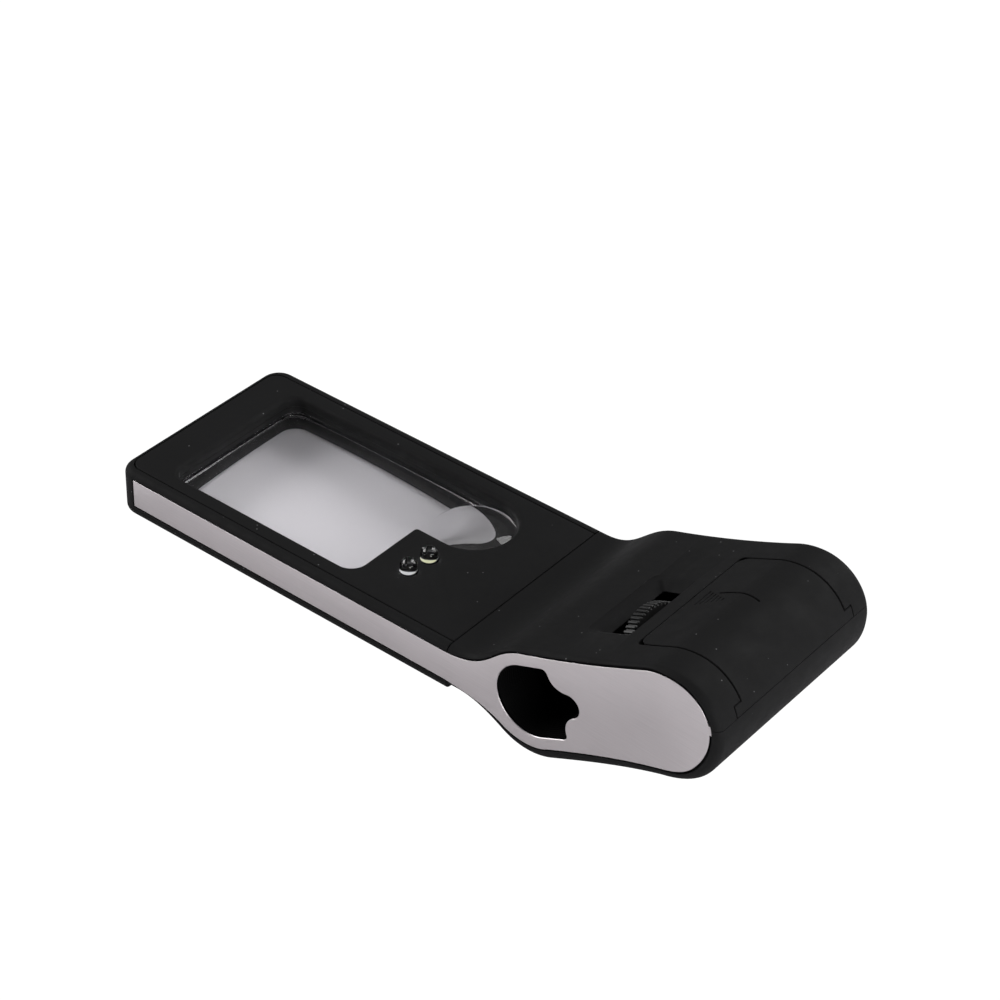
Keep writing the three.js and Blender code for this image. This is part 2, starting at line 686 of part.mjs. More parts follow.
function circuitBoard() {
  const { x0, x1, y0, y1, z0, z1 } = BOARD;
  const board = block(x0, x1, y0, y1, z0, z1);
  const arm = block(x1 - 5.6, x1, y1 - 1, 14, z0, z1);
  const legHoles = TORCH_LEDS.flatMap(([x, y]) =>
    [-0.9, 0.9].map((dx) => block(x + dx - 0.4, x + dx + 0.4, y - 0.4, y + 0.4, 0, 9)),
  );
  const screwRelief = coverScrews.map(([x, y]) => upright(circle(x, y, 2.6), 0, 9));
  return cut(join(board, arm), ...legHoles, ...screwRelief);
}

const chip = (x, y) => block(x, x + 1.6, y, y + 0.8, BOARD.z1 + 0.05, BOARD.z1 + 0.6);

function switchBody() {
  const { x, z } = SWITCH;
  const shell = block(x - 3.1, x + 3.1, 16.6, 20.8, z - 1.8, z + 1.8);
  return cut(shell, block(x - 2.5, x + 2.5, 19, 21, z - 0.9, z + 0.9));
}

function switchKnob() {
  const { x, z } = SWITCH;
  const stem = block(x - 0.8, x + 0.8, 19.2, HALF + 0.5, z - 0.7, z + 0.7);
  const cap = block(x - 1.3, x + 1.3, HALF + 0.1, HALF + 1.3, z - 0.9, z + 0.9);
  return join(stem, cap);
}

// ---- Fasteners ----
// A pan-head screw pointing up: head underside at height 0.
function screw(length) {
  const { radius, head, headThick } = SCREW;
  const profile = [
    [0, -headThick],
    [head * 0.8, -headThick],
    [head, -0.3],
    [head, 0],
    [radius, 0],
    [radius, length],
    [0, length],
  ];
  const body = turned(profile, "z", 0, 0, 0, 12);
  const recess = (turn) => {
    const blade = new THREE.BoxGeometry(2.2, 0.5, 1);
    return solid(blade.rotateZ(turn).translate(0, 0, -headThick));
  };
  return cut(body, recess(0), recess(Math.PI / 2));
}

// ---- Materials ----
const material = (color, roughness, metalness, extra = {}) =>
  new THREE.MeshStandardMaterial({ color, roughness, metalness, ...extra });
const MATERIALS = {
  softBlack: material(0x1b1b1c, 0.6, 0),
  innerBlack: material(0x0d0d0e, 0.8, 0),
  steel: material(0xc3bfc0, 0.35, 1),
  acrylic: material(0xf4f7f8, 0.05, 0, { transparent: true, opacity: 0.3 }),
  ledClear: material(0xf2f4f5, 0.05, 0, { transparent: true, opacity: 0.4 }),
  board: material(0x1c5a34, 0.5, 0),
  brightMetal: material(0xcfd0d2, 0.25, 1),
  whitePlastic: material(0xe6e4dd, 0.5, 0),
  redSleeve: material(0xb3201c, 0.5, 0),
  blackSleeve: material(0x141414, 0.5, 0),
  chipBlack: material(0x202022, 0.4, 0),
};

// ---- Assembly ----
const detector = new THREE.Group();
const casing = new THREE.Group();
const grip = new THREE.Group();
grip.position.set(GRIP.x, 0, GRIP.z);
grip.rotation.y = -GRIP.angle;
casing.add(grip);
detector.add(casing);

function place(parent, name, manifold, look, position = [0, 0, 0], rotation = [0, 0, 0]) {
  const mesh = new THREE.Mesh(geometryOf(manifold), MATERIALS[look]);
  mesh.name = name;
  mesh.position.set(...position);
  mesh.rotation.set(...rotation);
  parent.add(mesh);
}

place(casing, "front_frame", frontFrame(), "softBlack");
place(casing, "lens_bezel", lensBezel(), "softBlack");
place(casing, "bottom_cover", bottomCover(), "softBlack");
place(casing, "magnifier_lens", magnifierLens(), "acrylic");
place(casing, "upper_housing", upperHousing(), "softBlack");
place(casing, "lower_housing", lowerHousing(), "softBlack");
place(casing, "battery_door", batteryDoor(), "softBlack");

const aperture = toCase(across(apertureOutline(), -HALF - 1, -HALF + 1.5));
const eyeHole = toCase(turned(rod(SLEEVE.inner, HALF - 1.5, HALF + 1), "y"));
place(casing, "objective_side_plate", sidePlate(-1, aperture), "steel");
place(casing, "eyepiece_side_plate", sidePlate(1, eyeHole, switchSlot()), "steel");

const ledBase = SLAB.thick + LED.proud - LED.height;
["white_led", "uv_led"].forEach((name, i) => {
  place(casing, name, led(ledBase - BOARD.z0), "ledClear", [...TORCH_LEDS[i], ledBase]);
});
place(casing, "circuit_board", circuitBoard(), "board");
place(casing, "led_resistor_1", chip(66, -6.5), "chipBlack");
place(casing, "led_resistor_2", chip(66, -9), "chipBlack");
place(casing, "led_resistor_3", chip(66, -4), "chipBlack");
place(casing, "switch_body", switchBody(), "brightMetal");
place(casing, "switch_knob", switchKnob(), "blackSleeve");
place(casing, "positive_lead", batteryLead(4.8, 8), "redSleeve");
place(casing, "negative_lead", batteryLead(7.2, 12), "blackSleeve");
coverScrews.forEach(([x, y], i) => {
  place(casing, `cover_screw_${i + 1}`, screw(4.4), "brightMetal", [x, y, 1.05]);
});
housingScrews.forEach(({ x, y, tip, head }, i) => {
  const seat = head + SCREW.headThick + 0.05;
  place(casing, `housing_screw_${i + 1}`, screw(tip - seat), "brightMetal", [x, y, seat]);
});

place(grip, "objective_shroud", objectiveShroud(), "innerBlack");
place(grip, "barrel_sleeve", barrelSleeve(), "innerBlack");
place(grip, "objective_barrel", objectiveBarrel(), "innerBlack");
place(grip, "objective_lens", lensDisc(1.6, 0.9, 0.35, BARREL.front + 1.6), "acrylic");
place(grip, "field_lens", lensDisc(SLEEVE.inner - 0.1, 1, 0.7, 13.2), "acrylic");
place(grip, "lens_retainer", retainerRing(11.3), "innerBlack");
place(grip, "eyepiece_cup", eyepieceCup(), "innerBlack");
place(grip, "eye_lens", lensDisc(4.2, 1.4, 0.8, 17.6), "acrylic");
place(grip, "specimen_led", led(1.6), "ledClear", [9, -12.8, 0], [Math.PI / 2, 0, 0]);
place(grip, "focus_wheel", focusWheel(), "softBlack");
place(grip, "focus_shaft", focusShaft(), "brightMetal");
place(grip, "wheel_bracket", wheelBracket(), "whitePlastic");
place(grip, "battery_cradle", batteryCradle(), "innerBlack");
place(grip, "battery_cell_1", cell(0), "brightMetal");
place(grip, "battery_cell_2", cell(1), "brightMetal");
place(grip, "battery_cell_3", cell(2), "brightMetal");
place(grip, "battery_spring", batterySpring(), "brightMetal");
place(grip, "battery_contact", contactTab(), "brightMetal");

// At rest the detector stands on its front edge and on the belly under the microscope. The row
// origin is the middle of its footprint.
const bellyBottom = GRIP.z - BELLY_RADIUS;
casing.rotation.y = -Math.atan2(-bellyBottom, GRIP.x);
detector.updateMatrixWorld(true);
const bounds = new THREE.Box3().setFromObject(detector, true);
const middle = bounds.getCenter(new THREE.Vector3());
casing.position.set(-middle.x, -middle.y, -bounds.min.z);

export default detector;
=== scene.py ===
"""Looks for a pocket counterfeit-note detector: an illuminated magnifier with a bent microscope grip.

Shapes are drawn in millimetres in the CAD's own two frames and then placed by the record's joints
and mounts. The case frame has x along the lens section (0 at its front end), y across (0 on the
centre plane) and z up (0 on the underside of the lens section). The grip frame has its origin on
the microscope's optical axis and its x along the bent grip.
"""

import json
import math

import bmesh
import bpy
import numpy as np
from mathutils import Matrix, Vector


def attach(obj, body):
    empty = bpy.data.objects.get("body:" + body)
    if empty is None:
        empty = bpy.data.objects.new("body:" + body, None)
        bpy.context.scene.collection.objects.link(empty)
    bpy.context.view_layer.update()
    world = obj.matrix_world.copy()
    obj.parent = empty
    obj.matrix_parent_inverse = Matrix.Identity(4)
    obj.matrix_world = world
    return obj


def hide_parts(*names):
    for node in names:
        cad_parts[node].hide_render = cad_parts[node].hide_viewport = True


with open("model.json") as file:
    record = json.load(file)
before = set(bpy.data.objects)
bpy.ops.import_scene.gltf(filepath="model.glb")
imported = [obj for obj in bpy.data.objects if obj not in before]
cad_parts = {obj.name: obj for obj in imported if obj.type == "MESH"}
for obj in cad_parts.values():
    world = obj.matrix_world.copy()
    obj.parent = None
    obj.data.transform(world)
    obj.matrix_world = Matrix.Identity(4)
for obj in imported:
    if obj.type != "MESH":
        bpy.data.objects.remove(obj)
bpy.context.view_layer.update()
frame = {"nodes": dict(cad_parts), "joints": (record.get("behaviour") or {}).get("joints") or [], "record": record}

MM = 0.001
joints = {joint["name"]: joint for joint in frame["joints"]}
mounts = {mount["name"]: mount for mount in frame["record"]["mounts"]}
slots = {part["node"]: part["material_slot"] for part in frame["record"]["subparts"]}


# ---- Frames ----
UNDERSIDE_POINT = Vector((72, 0, 0))  # where the underside mount lies in the case frame
FOCUS_POINT = Vector((15.8, -4.2, 0.6))  # where the focus axis passes in the grip frame


def millimetre_frame(x_axis, point, known):
    """The matrix from a millimetre frame, with its x along x_axis, in which point is at known."""
    x = Vector(x_axis).normalized()
    y = Vector((0, 1, 0))
    z = x.cross(y)
    turn = Matrix((x, y, z)).transposed().to_4x4()
    origin = Vector(point) - turn.to_3x3() @ (known * MM)
    return Matrix.Translation(origin) @ turn @ Matrix.Scale(MM, 4)


focus, switch = joints["focus_turn"], joints["switch_slide"]
CASE = millimetre_frame(switch["axis"], mounts["underside"]["pos_m"], UNDERSIDE_POINT)
GRIP = millimetre_frame(focus["axis"], focus["pos_m"], FOCUS_POINT)
GRIP_TO_CASE = CASE.inverted() @ GRIP
GRIP_ORIGIN = GRIP_TO_CASE.translation

# ---- Sizes, in millimetres ----
HALF = 22.5
SLAB_LENGTH = 81.2
SLAB_THICK = 10
SLAB_CORNER = 4
COVER_THICK = 1.75
BEZEL_THICK = 2
EDGE = 1.5  # fillet round the outside of the case
GAP = 0.1  # clearance between neighbouring pieces
FAR = 30  # how far a cutter reaches from the middle to pass the whole width
WALL = 1.6
PLATE_RECESS = 0.6
PLATE = {"face": 0.05, "back": 0.3, "gap": 0.25}  # face and back are depths below the flank
HEEL = {"x": 127, "ease": 4, "gap": 0.4, "plate": 0.2}  # where gap and plate widen, and by how much
BELLY = 11.8  # radius of the grip's underside round the microscope
APERTURE = 7.2  # radius of the round end of the objective's opening
SLEEVE = 7.2  # radius of the fixed sleeve that the tube slides in
WINDOW = {"front": 9.4, "rear": 54.8, "side": 17.1, "notch": 0.6, "round": 61.8, "corner": 3.2}
LENS = {"top": 6.7, "bottom": 4.4, "lip": 1.1, "x": 34, "middle": 5.8}
LENS |= {"half": 1.8, "curve": 300, "web": 0.3, "blend": 0.06, "step": 1.5}
DOME = {"radius": 8.15, "height": 1.6, "stand": 1.5}
LEDS = [(62.8, -5.2), (62.2, -10.3)]
LED_RADIUS, LED_HEIGHT = 1.7, 5.3
LED_STANDS = 2.6  # how far a torch lamp stands out of the panel
LED_BAY = (57.6, 79.4, -19.8, -1.4)
SWITCH_BAY = (72.6, 79.4, -1.5, 21)
SWITCH = {"x": 75.9, "z": 5.5}
TONGUE = {"half": 15, "low": 3.9, "high": 6.6, "reach": 6.2}
DOOR = {"half": 15.4, "corner": 2.3, "front": 22.3, "step": 17.3, "step_top": 24.9, "part": 22.87}
WHEEL = {"radius": 9.3, "from": 14.2, "to": 17.4, "teeth": 60}
COVER_SCREWS = [(5, -17.5), (5, 17.5), (76.3, -18.2), (63.5, -18.2)]
HOUSING_SCREWS = [(84.9, -12, 1.05), (84.9, 12, 1.05), (114.5, -18.6, 1.9), (114.5, 18.6, 1.9)]
SCREW = {"shank_hole": 1.2, "head_hole": 2.05, "seat": 1.05, "pitch": 0.5}


# ---- Outlines ----
class Outline:
    """A closed outline, drawn point by point."""

    def __init__(self, x, y):
        self.points = [(x, y)]

    def line(self, x, y):
        self.points.append((x, y))
        return self

    def curve(self, ax, ay, bx, by, x, y, steps=20):
        """A cubic curve to x, y, bent towards a and then b."""
        sx, sy = self.points[-1]
        for i in range(1, steps + 1):
            t = i / steps
            u = 1 - t
            weights = (u**3, 3 * u * u * t, 3 * u * t * t, t**3)
            pairs = zip(weights, (sx, ax, bx, x), (sy, ay, by, y))
            across, up = zip(*((w * px, w * py) for w, px, py in pairs))
            self.points.append((sum(across), sum(up)))
        return self

    def arc(self, cx, cy, radius, start, end, steps=16):
        """An arc between two angles in degrees."""
        for i in range(steps + 1):
            angle = math.radians(start + (end - start) * i / steps)
            self.points.append((cx + radius * math.cos(angle), cy + radius * math.sin(angle)))
        return self

    def closed(self):
        """The points, anticlockwise, with repeats left out."""
        kept = [self.points[0]]
        for point in self.points[1:]:
            if math.dist(point, kept[-1]) > 1e-4:
                kept.append(point)
        if math.dist(kept[0], kept[-1]) < 1e-4:
            kept.pop()
        points = np.array(kept, float)
        x, y = points.T
        area = np.sum(x * np.roll(y, -1) - np.roll(x, -1) * y)
        return points if area > 0 else points[::-1]


def offset(points, distance):
    """A closed anticlockwise outline moved outwards by distance."""
    ahead = np.roll(points, -1, 0) - points
    ahead /= np.linalg.norm(ahead, axis=1)[:, None]
    behind = np.roll(ahead, 1, 0)
    normal = (ahead + behind)[:, ::-1] * (1, -1)
    mitre = 2 / np.maximum((normal**2).sum(1), 0.8)
    return points + normal * (mitre * distance)[:, None]


def divided(points, step):
    """A closed outline with points added along its lines, so that none is longer than step."""
    result = []
    for start, end in zip(points, np.roll(points, -1, 0)):
        count = max(1, math.ceil(np.linalg.norm(end - start) / step))
        result += [start + (end - start) * i / count for i in range(count)]
    return np.array(result)


def rounded_rectangle(x0, x1, y0, y1, front, rear=None):
    """A rectangle with one corner radius at x0 and another, or the same, at x1."""
    rear = front if rear is None else rear
    shape = Outline(x0 + front, y0)
    if rear:
        shape.arc(x1 - rear, y0 + rear, rear, -90, 0).arc(x1 - rear, y1 - rear, rear, 0, 90)
    else:
        shape.line(x1, y0).line(x1, y1)
    if front:
        shape.arc(x0 + front, y1 - front, front, 90, 180).arc(x0 + front, y0 + front, front, 180, 270)
    else:
        shape.line(x0, y1).line(x0, y0)
    return shape.closed()


def circle(x, y, radius, steps=48):
    return Outline(x + radius, y).arc(x, y, radius, 0, 360, steps).closed()


def window_outline(grow=0):
    """The lens window, moved outwards by grow: a rectangle whose far rear quarter has a round end."""
    front, rear, side = WINDOW["front"], WINDOW["rear"], WINDOW["side"]
    notch, corner = WINDOW["notch"], WINDOW["corner"]
    round_y = (notch + side) / 2
    ease = 1
    shape = Outline(front + corner, -side)
    shape.arc(rear - corner, -side + corner, corner, -90, 0)
    shape.arc(rear + ease, notch - ease, ease, 180, 90, 8)
    shape.arc(WINDOW["round"], round_y, (side - notch) / 2, -90, 90, 40)
    shape.arc(front + corner, side - corner, corner, 90, 180)
    shape.arc(front + corner, -side + corner, corner, 180, 270)
    return offset(shape.closed(), grow)


def grip_outline(front=SLAB_LENGTH + GAP):
    """The grip in side view, in x and z of the case frame."""
    shape = Outline(front, SLAB_THICK).line(82.5, SLAB_THICK)
    shape.curve(90.2, 10, 91.4, 16.3, 98, 18.55, 28)
    shape.curve(106.5, 21.35, 115, 24.72, 123.5, 28.8, 16)
    shape.curve(125.3, 29.65, 127.2, 30, 129, 30, 6)
    shape.arc(129, 20.2, 9.8, 90, 0, 28)
    shape.curve(138.8, 13.4, 135, 8.9, 128, 7.1, 20)
    belly_end = math.radians(-64)
    end_x = GRIP_ORIGIN.x + BELLY * math.cos(belly_end)
    end_z = GRIP_ORIGIN.z + BELLY * math.sin(belly_end)
    shape.curve(120.5, 4.7, 112.5, 0.94, end_x, end_z, 16)
    shape.arc(GRIP_ORIGIN.x, GRIP_ORIGIN.z, BELLY, -64, -120, 16)
    shape.curve(90.5, -0.5, 87.5, 1, 83.5, 1.05, 18)
    return shape.line(front, 1).closed()


def plate_outline():
    """The steel side plate in side view, in x and z of the case frame."""
    shape = Outline(4.3, 2.6).line(4.3, 8.6).line(80, 8.6)
    shape.curve(91, 8.6, 90.5, 14.9, 97.5, 17.25, 28)
    shape.curve(106.5, 20.35, 114.5, 23.8, 122.6, 27.7, 16)
    shape.curve(126.5, 29.6, 131, 29, 133.9, 26.4, 20)
    shape.curve(137.4, 23.2, 137.2, 17.4, 133.6, 12.6, 20)
    shape.curve(132, 10.6, 129.5, 9.5, 126, 8.4, 10)
    shape.curve(118.5, 6, 112, 3.1, 104.2, -0.6, 16)
    shape.curve(101.5, -2.4, 97.5, -2.5, 94, -0.7, 16)
    return shape.curve(90, 1.5, 86, 2, 80, 2.35, 16).closed()


def grown_plate(grow, at_heel):
    """The plate's outline moved outwards by grow, and by at_heel more round the heel."""
    outline = plate_outline()
    return offset(outline, grow + at_heel * np.clip((outline[:, 0] - HEEL["x"]) / HEEL["ease"], 0, 1))


def aperture_outline():
    """The objective's side opening, in x and z of the grip frame."""
    shape = Outline(0, APERTURE).arc(0, 0, APERTURE, 90, 270, 48)
    shape.line(5, -7).curve(6, -7, 6.4, -6.6, 6.4, -5.6, 8)
    shape.curve(6.6, -3.6, 8, -2.7, 9.2, -2.35, 12)
    shape.arc(9, 0, 2.36, -80, 80, 20)
    shape.curve(8, 2.7, 6.6, 3.6, 6.4, 5.6, 12)
    return shape.curve(6.4, 6.6, 6, 7, 5, 7, 8).closed()


# ---- Meshes ----
PLAN, SIDE = "plan", "side"  # an outline's axes: x and y, or x and z


def rounded_levels(low, high, low_radius=0.0, high_radius=0.0, steps=6):
    """(outwards offset, level) of the rings of a prism whose two ends are rounded over."""
    levels = []
    for end, radius, sign in ((low, low_radius, 1), (high, high_radius, -1)):
        quarter = []
        for i in range(steps + 1) if radius else [0]:
            angle = math.pi / 2 * i / steps
            rise = radius * (1 - math.cos(angle))
            quarter.append((radius * (math.sin(angle) - 1), end + sign * rise))
        levels += quarter if sign == 1 else quarter[::-1]
    return levels


def flared_levels(low, high, flare, steps=5):
    """A straight cutter whose top end opens out in a quarter circle, to round over the edge it cuts."""
    levels = [(0, low), (0, high - flare)]
    for i in range(1, steps + 1):
        angle = math.pi / 2 * i / steps
        levels.append((flare * (1 - math.cos(angle)), high - flare + flare * math.sin(angle)))
    return levels + [(flare, high + 1)]


def edit_mesh(mesh, *steps):
    """Runs steps, each a function of a bmesh, on a mesh."""
    work = bmesh.new()
    work.from_mesh(mesh)
    for step in steps:
        step(work)
    work.to_mesh(mesh)
    work.free()


def mesh_object(name, vertices, faces, matrix):
    """A mesh whose vertices are placed by matrix and whose faces point outwards."""
    mesh = bpy.data.meshes.new(name)
    mesh.from_pydata([matrix @ Vector(v) for v in vertices], [], faces)
    edit_mesh(mesh, lambda work: bmesh.ops.recalc_face_normals(work, faces=work.faces))
    piece = bpy.data.objects.new(name, mesh)
    bpy.context.scene.collection.objects.link(piece)
    return piece


def loft(name, rings, matrix):
    """A solid through rings that all have the same number of points, closed by a face at each end."""
    vertices = [tuple(point) for ring in rings for point in ring]
    count = len(rings[0])
    last = count * (len(rings) - 1)
    faces = [
        (base + i, base + (i + 1) % count, base + count + (i + 1) % count, base + count + i)
        for base in range(0, last, count)
        for i in range(count)
    ]
    faces += [tuple(range(count)), tuple(range(last, last + count))]
    return mesh_object(name, vertices, faces, matrix)


def lifted(points, level, plane=PLAN):
    """A flat outline as a ring in space, its third coordinate a number or one for each point."""
    levels = np.broadcast_to(level, len(points))
    a, b = points.T
    return np.column_stack((a, b, levels) if plane == PLAN else (a, levels, b))


def prism(name, points, levels, matrix, plane=PLAN):
    """An outline lofted through (outwards offset, level) rings, closed by a face at each end."""
    rings = [lifted(offset(points, grow) if grow else points, level, plane) for grow, level in levels]
    return loft(name, rings, matrix)


def turned(name, profile, matrix, steps=72):
    """A solid turned about the local z axis: profile is (radius, height), and may be a closed loop."""
    vertices, rings = [], []
    for radius, height in profile:
        if radius < 1e-6:
            rings.append([len(vertices)])
            vertices.append((0, 0, height))
            continue
        rings.append(list(range(len(vertices), len(vertices) + steps)))
        for i in range(steps):
            angle = 2 * math.pi * i / steps
            vertices.append((radius * math.cos(angle), radius * math.sin(angle), height))
    if len(rings[0]) > 1:
        rings.append(rings[0])
    faces = []
    for low, high in zip(rings, rings[1:]):
        for i in range(steps):
            face = [low[i % len(low)], low[(i + 1) % len(low)]]
            face += [high[(i + 1) % len(high)], high[i % len(high)]]
            faces.append(tuple(dict.fromkeys(face)))
    return mesh_object(name, vertices, faces, matrix)


def soften(profile, radius, steps=3):
    """A profile with each inner corner rounded by about radius."""
    points = [Vector(p) for p in profile]
    out = [points[0]]
    for before, corner, after in zip(points, points[1:], points[2:]):
        into, away = before - corner, after - corner
        reach = min(radius, into.length * 0.45, away.length * 0.45)
        if reach < 1e-4 or into.angle(away, math.pi) > math.radians(165):
            out.append(corner)
            continue
        start, end = corner + into.normalized() * reach, corner + away.normalized() * reach
        for i in range(steps + 1):
            t = i / steps
            out.append(start.lerp(corner, t).lerp(corner.lerp(end, t), t))
    return [tuple(p) for p in out + [points[-1]]]


def block(points, low, high, matrix=CASE, plane=PLAN):
    """A plain prism, to cut or join with."""
    return prism("tool", points, [(0, low), (0, high)], matrix, plane)


def box(x0, x1, y0, y1, z0, z1, matrix=CASE):
    return block(rounded_rectangle(x0, x1, y0, y1, 0), z0, z1, matrix)


def split_large_faces(piece):
    """Splits every face of more than four sides, so that no face is left with more than one hole."""
    edit_mesh(
        piece.data,
        lambda work: bmesh.ops.triangulate(work, faces=[f for f in work.faces if len(f.verts) > 4]),
    )


def combine(piece, tools, operation):
    """Cuts, joins or intersects piece with each tool; the tools are used up."""
    for tool in tools:
        split_large_faces(piece)
        split_large_faces(tool)
        modifier = piece.modifiers.new("boolean", "BOOLEAN")
        modifier.operation = operation
        modifier.solver = "MANIFOLD"
        modifier.object = tool
        bpy.context.view_layer.update()
        graph = bpy.context.evaluated_depsgraph_get()
        result = bpy.data.meshes.new_from_object(piece.evaluated_get(graph))
        piece.modifiers.clear()
        piece.data = result
        bpy.data.objects.remove(tool)
    return piece


def cut(piece, *tools):
    return combine(piece, tools, "DIFFERENCE")


def join(piece, *tools):
    return combine(piece, tools, "UNION")


def common(piece, *tools):
    return combine(piece, tools, "INTERSECT")


def finish_piece(
    piece, name, node=None, material="soft_black_case", body="case", sharp=32
):
    """Names, colours and shades a piece, and puts it on its body, in a CAD node's place if given."""
    piece.name = name
    piece.data.name = name
    piece.data.materials.clear()
    piece.data.materials.append(materials[material])
    edit_mesh(
        piece.data,
        lambda work: bmesh.ops.remove_doubles(work, verts=work.verts, dist=1e-7),
        lambda work: bmesh.ops.dissolve_degenerate(work, edges=work.edges, dist=1e-7),
    )
    for face in piece.data.polygons:
        face.use_smooth = True
        face.material_index = 0
    piece.data.set_sharp_from_angle(angle=math.radians(sharp))
    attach(piece, body)
    if node:
        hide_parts(node)
    return piece


# ---- Materials ----
class Nodes:
    """A small helper that adds and wires shader nodes."""

    def __init__(self, name):
        self.material = bpy.data.materials.new(name)
        self.material.use_nodes = True
        self.tree = self.material.node_tree
        self.shader = self.tree.nodes["Principled BSDF"]
        self.output = self.tree.nodes["Material Output"]
        self.place = self.add("TexCoord").outputs["Object"]

    def feed(self, node, inputs):
        """Gives a node's inputs a value or another node's output each."""
        for key, value in inputs.items():
            if isinstance(value, bpy.types.NodeSocket):
                self.tree.links.new(value, node.inputs[key])
            else:
                node.inputs[key].default_value = value

    def add(self, kind, inputs=None, **settings):
        node = self.tree.nodes.new("ShaderNode" + kind)
        for key, value in settings.items():
            setattr(node, key, value)
        self.feed(node, inputs or {})
        return node

    def set(self, **values):
        """Gives the shader's inputs their values; a space in an input's name is written as _."""
        self.feed(self.shader, {name.replace("_", " "): value for name, value in values.items()})

    def show(self, ray, shader):
        """Shows another shader to one kind of ray."""
        rays = self.add("LightPath").outputs[ray]
        mix = self.add("MixShader", {0: rays, 1: self.shader.outputs["BSDF"], 2: shader.outputs[0]})
        self.feed(self.output, {"Surface": mix.outputs["Shader"]})

    def mapped(self, scale):
        return self.add("Mapping", {"Scale": scale, "Vector": self.place}).outputs["Vector"]

    def noise(self, scale, detail=3.0, vector=None):
        inputs = {"Scale": scale, "Detail": detail, "Vector": vector or self.place}
        return self.add("TexNoise", inputs).outputs["Fac"]

    def ramp(self, value, low, high, out_low=0.0, out_high=1.0):
        """value carried from low..high to out_low..out_high, and clamped."""
        inputs = {"Value": value, "From Min": low, "From Max": high}
        inputs |= {"To Min": out_low, "To Max": out_high}
        return self.add("MapRange", inputs).outputs["Result"]

    def math(self, operation, a, b):
        return self.add("Math", {0: a, 1: b}, operation=operation).outputs[0]

    def mix(self, factor, a, b):
        """A colour mixed from a to b by factor; each is a colour or another node's output."""
        a, b = ((*colour, 1) if isinstance(colour, tuple) else colour for colour in (a, b))
        return self.add("Mix", {0: factor, 6: a, 7: b}, data_type="RGBA").outputs[2]

    def bump(self, height, distance, strength=1.0, edge=0.0):
        """A bump in metres; edge is the radius that sharp edges are shaded with."""
        node = self.add("Bump", {"Distance": distance, "Strength": strength, "Height": height})
        if edge:
            bevel = self.add("Bevel", {"Radius": edge}, samples=4)
            self.feed(node, {"Normal": bevel.outputs["Normal"]})
        self.set(Normal=node.outputs["Normal"])


def specks(nodes, scale, share, size):
    """0 to 1 on small round specks of dust: share of the cells hold one, of size times a cell."""
    cells = nodes.add("TexVoronoi", {"Scale": scale, "Vector": nodes.place})
    chosen = nodes.add("SeparateColor", {"Color": cells.outputs["Color"]})
    has = nodes.ramp(chosen.outputs["Red"], 1 - share, 1 - share + 0.001)
    near = nodes.ramp(cells.outputs["Distance"], size * 0.5, size, 1, 0)
    return nodes.math("MULTIPLY", has, near)


def moulded_plastic(name, colour, lighter, roughness, grain, edge=0.00012, dust=0.0):
    """Moulded plastic: slow colour drift, a fine grain, roughness wear and sparse dust."""
    nodes = Nodes(name)
    drift = nodes.ramp(nodes.noise(45, 4), 0.35, 0.68)
    base = nodes.mix(drift, colour, lighter)
    fine = nodes.noise(5200, 2)
    worn = nodes.noise(260, 5)
    rough = nodes.ramp(worn, 0.3, 0.7, roughness - 0.05, roughness + 0.06)
    if dust:
        base = nodes.mix(specks(nodes, 450, dust, 0.07), base, (0.16, 0.16, 0.165))
    nodes.set(Base_Color=base, Roughness=rough)
    nodes.bump(fine, grain, 0.6, edge)
    return nodes


def soft_black():
    """The case's matt black, with soft edges and specks of dust."""
    dark, light = (0.005, 0.005, 0.0053), (0.0062, 0.0062, 0.0066)
    nodes = moulded_plastic("soft_black_case", dark, light, 0.72, 0.00002, edge=0.00018, dust=0.5)
    nodes.set(Specular_IOR_Level=0.18, Sheen_Weight=0.01, Sheen_Roughness=0.5)
    return nodes.material


def brushed_steel():
    """Stainless sheet brushed along the case's length, its edges painted near black as painted shade for the
    shadowed gap round the plate.
    """
    nodes = Nodes("brushed_side_plate")
    grain = nodes.noise(1.0, 4, nodes.mapped((120, 9000, 9000)))
    scratch = nodes.noise(1.0, 2, nodes.mapped((35, 2600, 2600)))
    cloud = nodes.noise(60, 3)
    tone = nodes.math("ADD", nodes.ramp(grain, 0.3, 0.7, 0, 0.6), nodes.ramp(cloud, 0.3, 0.7, 0, 0.4))
    face = nodes.mix(tone, (0.7, 0.66, 0.67), (0.82, 0.775, 0.785))
    # Painted shade: faces that do not face across the case, which are the sheet's edges, take a near black colour
    # in place of the shadow in the gap round the plate.
    normal = nodes.add("SeparateXYZ", {0: nodes.add("NewGeometry").outputs["True Normal"]})
    flat = nodes.ramp(nodes.math("ABSOLUTE", normal.outputs["Y"], 0), 0.3, 0.6)
    colour = nodes.mix(flat, (0.03, 0.03, 0.03), face)
    rough = nodes.ramp(grain, 0.3, 0.7, 0.34, 0.46)
    nodes.set(Base_Color=colour, Roughness=rough, Metallic=1.0, Anisotropic=0.5)
    nodes.bump(scratch, 0.000008, 0.5, 0.00006)
    return nodes.material


def plain_metal(name, colour, roughness):
    """Plated or drawn metal with fine darker spots and uneven polish."""
    nodes = Nodes(name)
    spots = nodes.noise(900, 4)
    darker = tuple(0.8 * c for c in colour)
    tone = nodes.mix(nodes.ramp(spots, 0.3, 0.75), colour, darker)
    rough = nodes.ramp(spots, 0.3, 0.7, roughness, roughness + 0.12)
    nodes.set(Base_Color=tone, Roughness=rough, Metallic=1.0)
    nodes.bump(nodes.noise(4000, 2), 0.000006, 0.4, 0.00006)
    return nodes.material


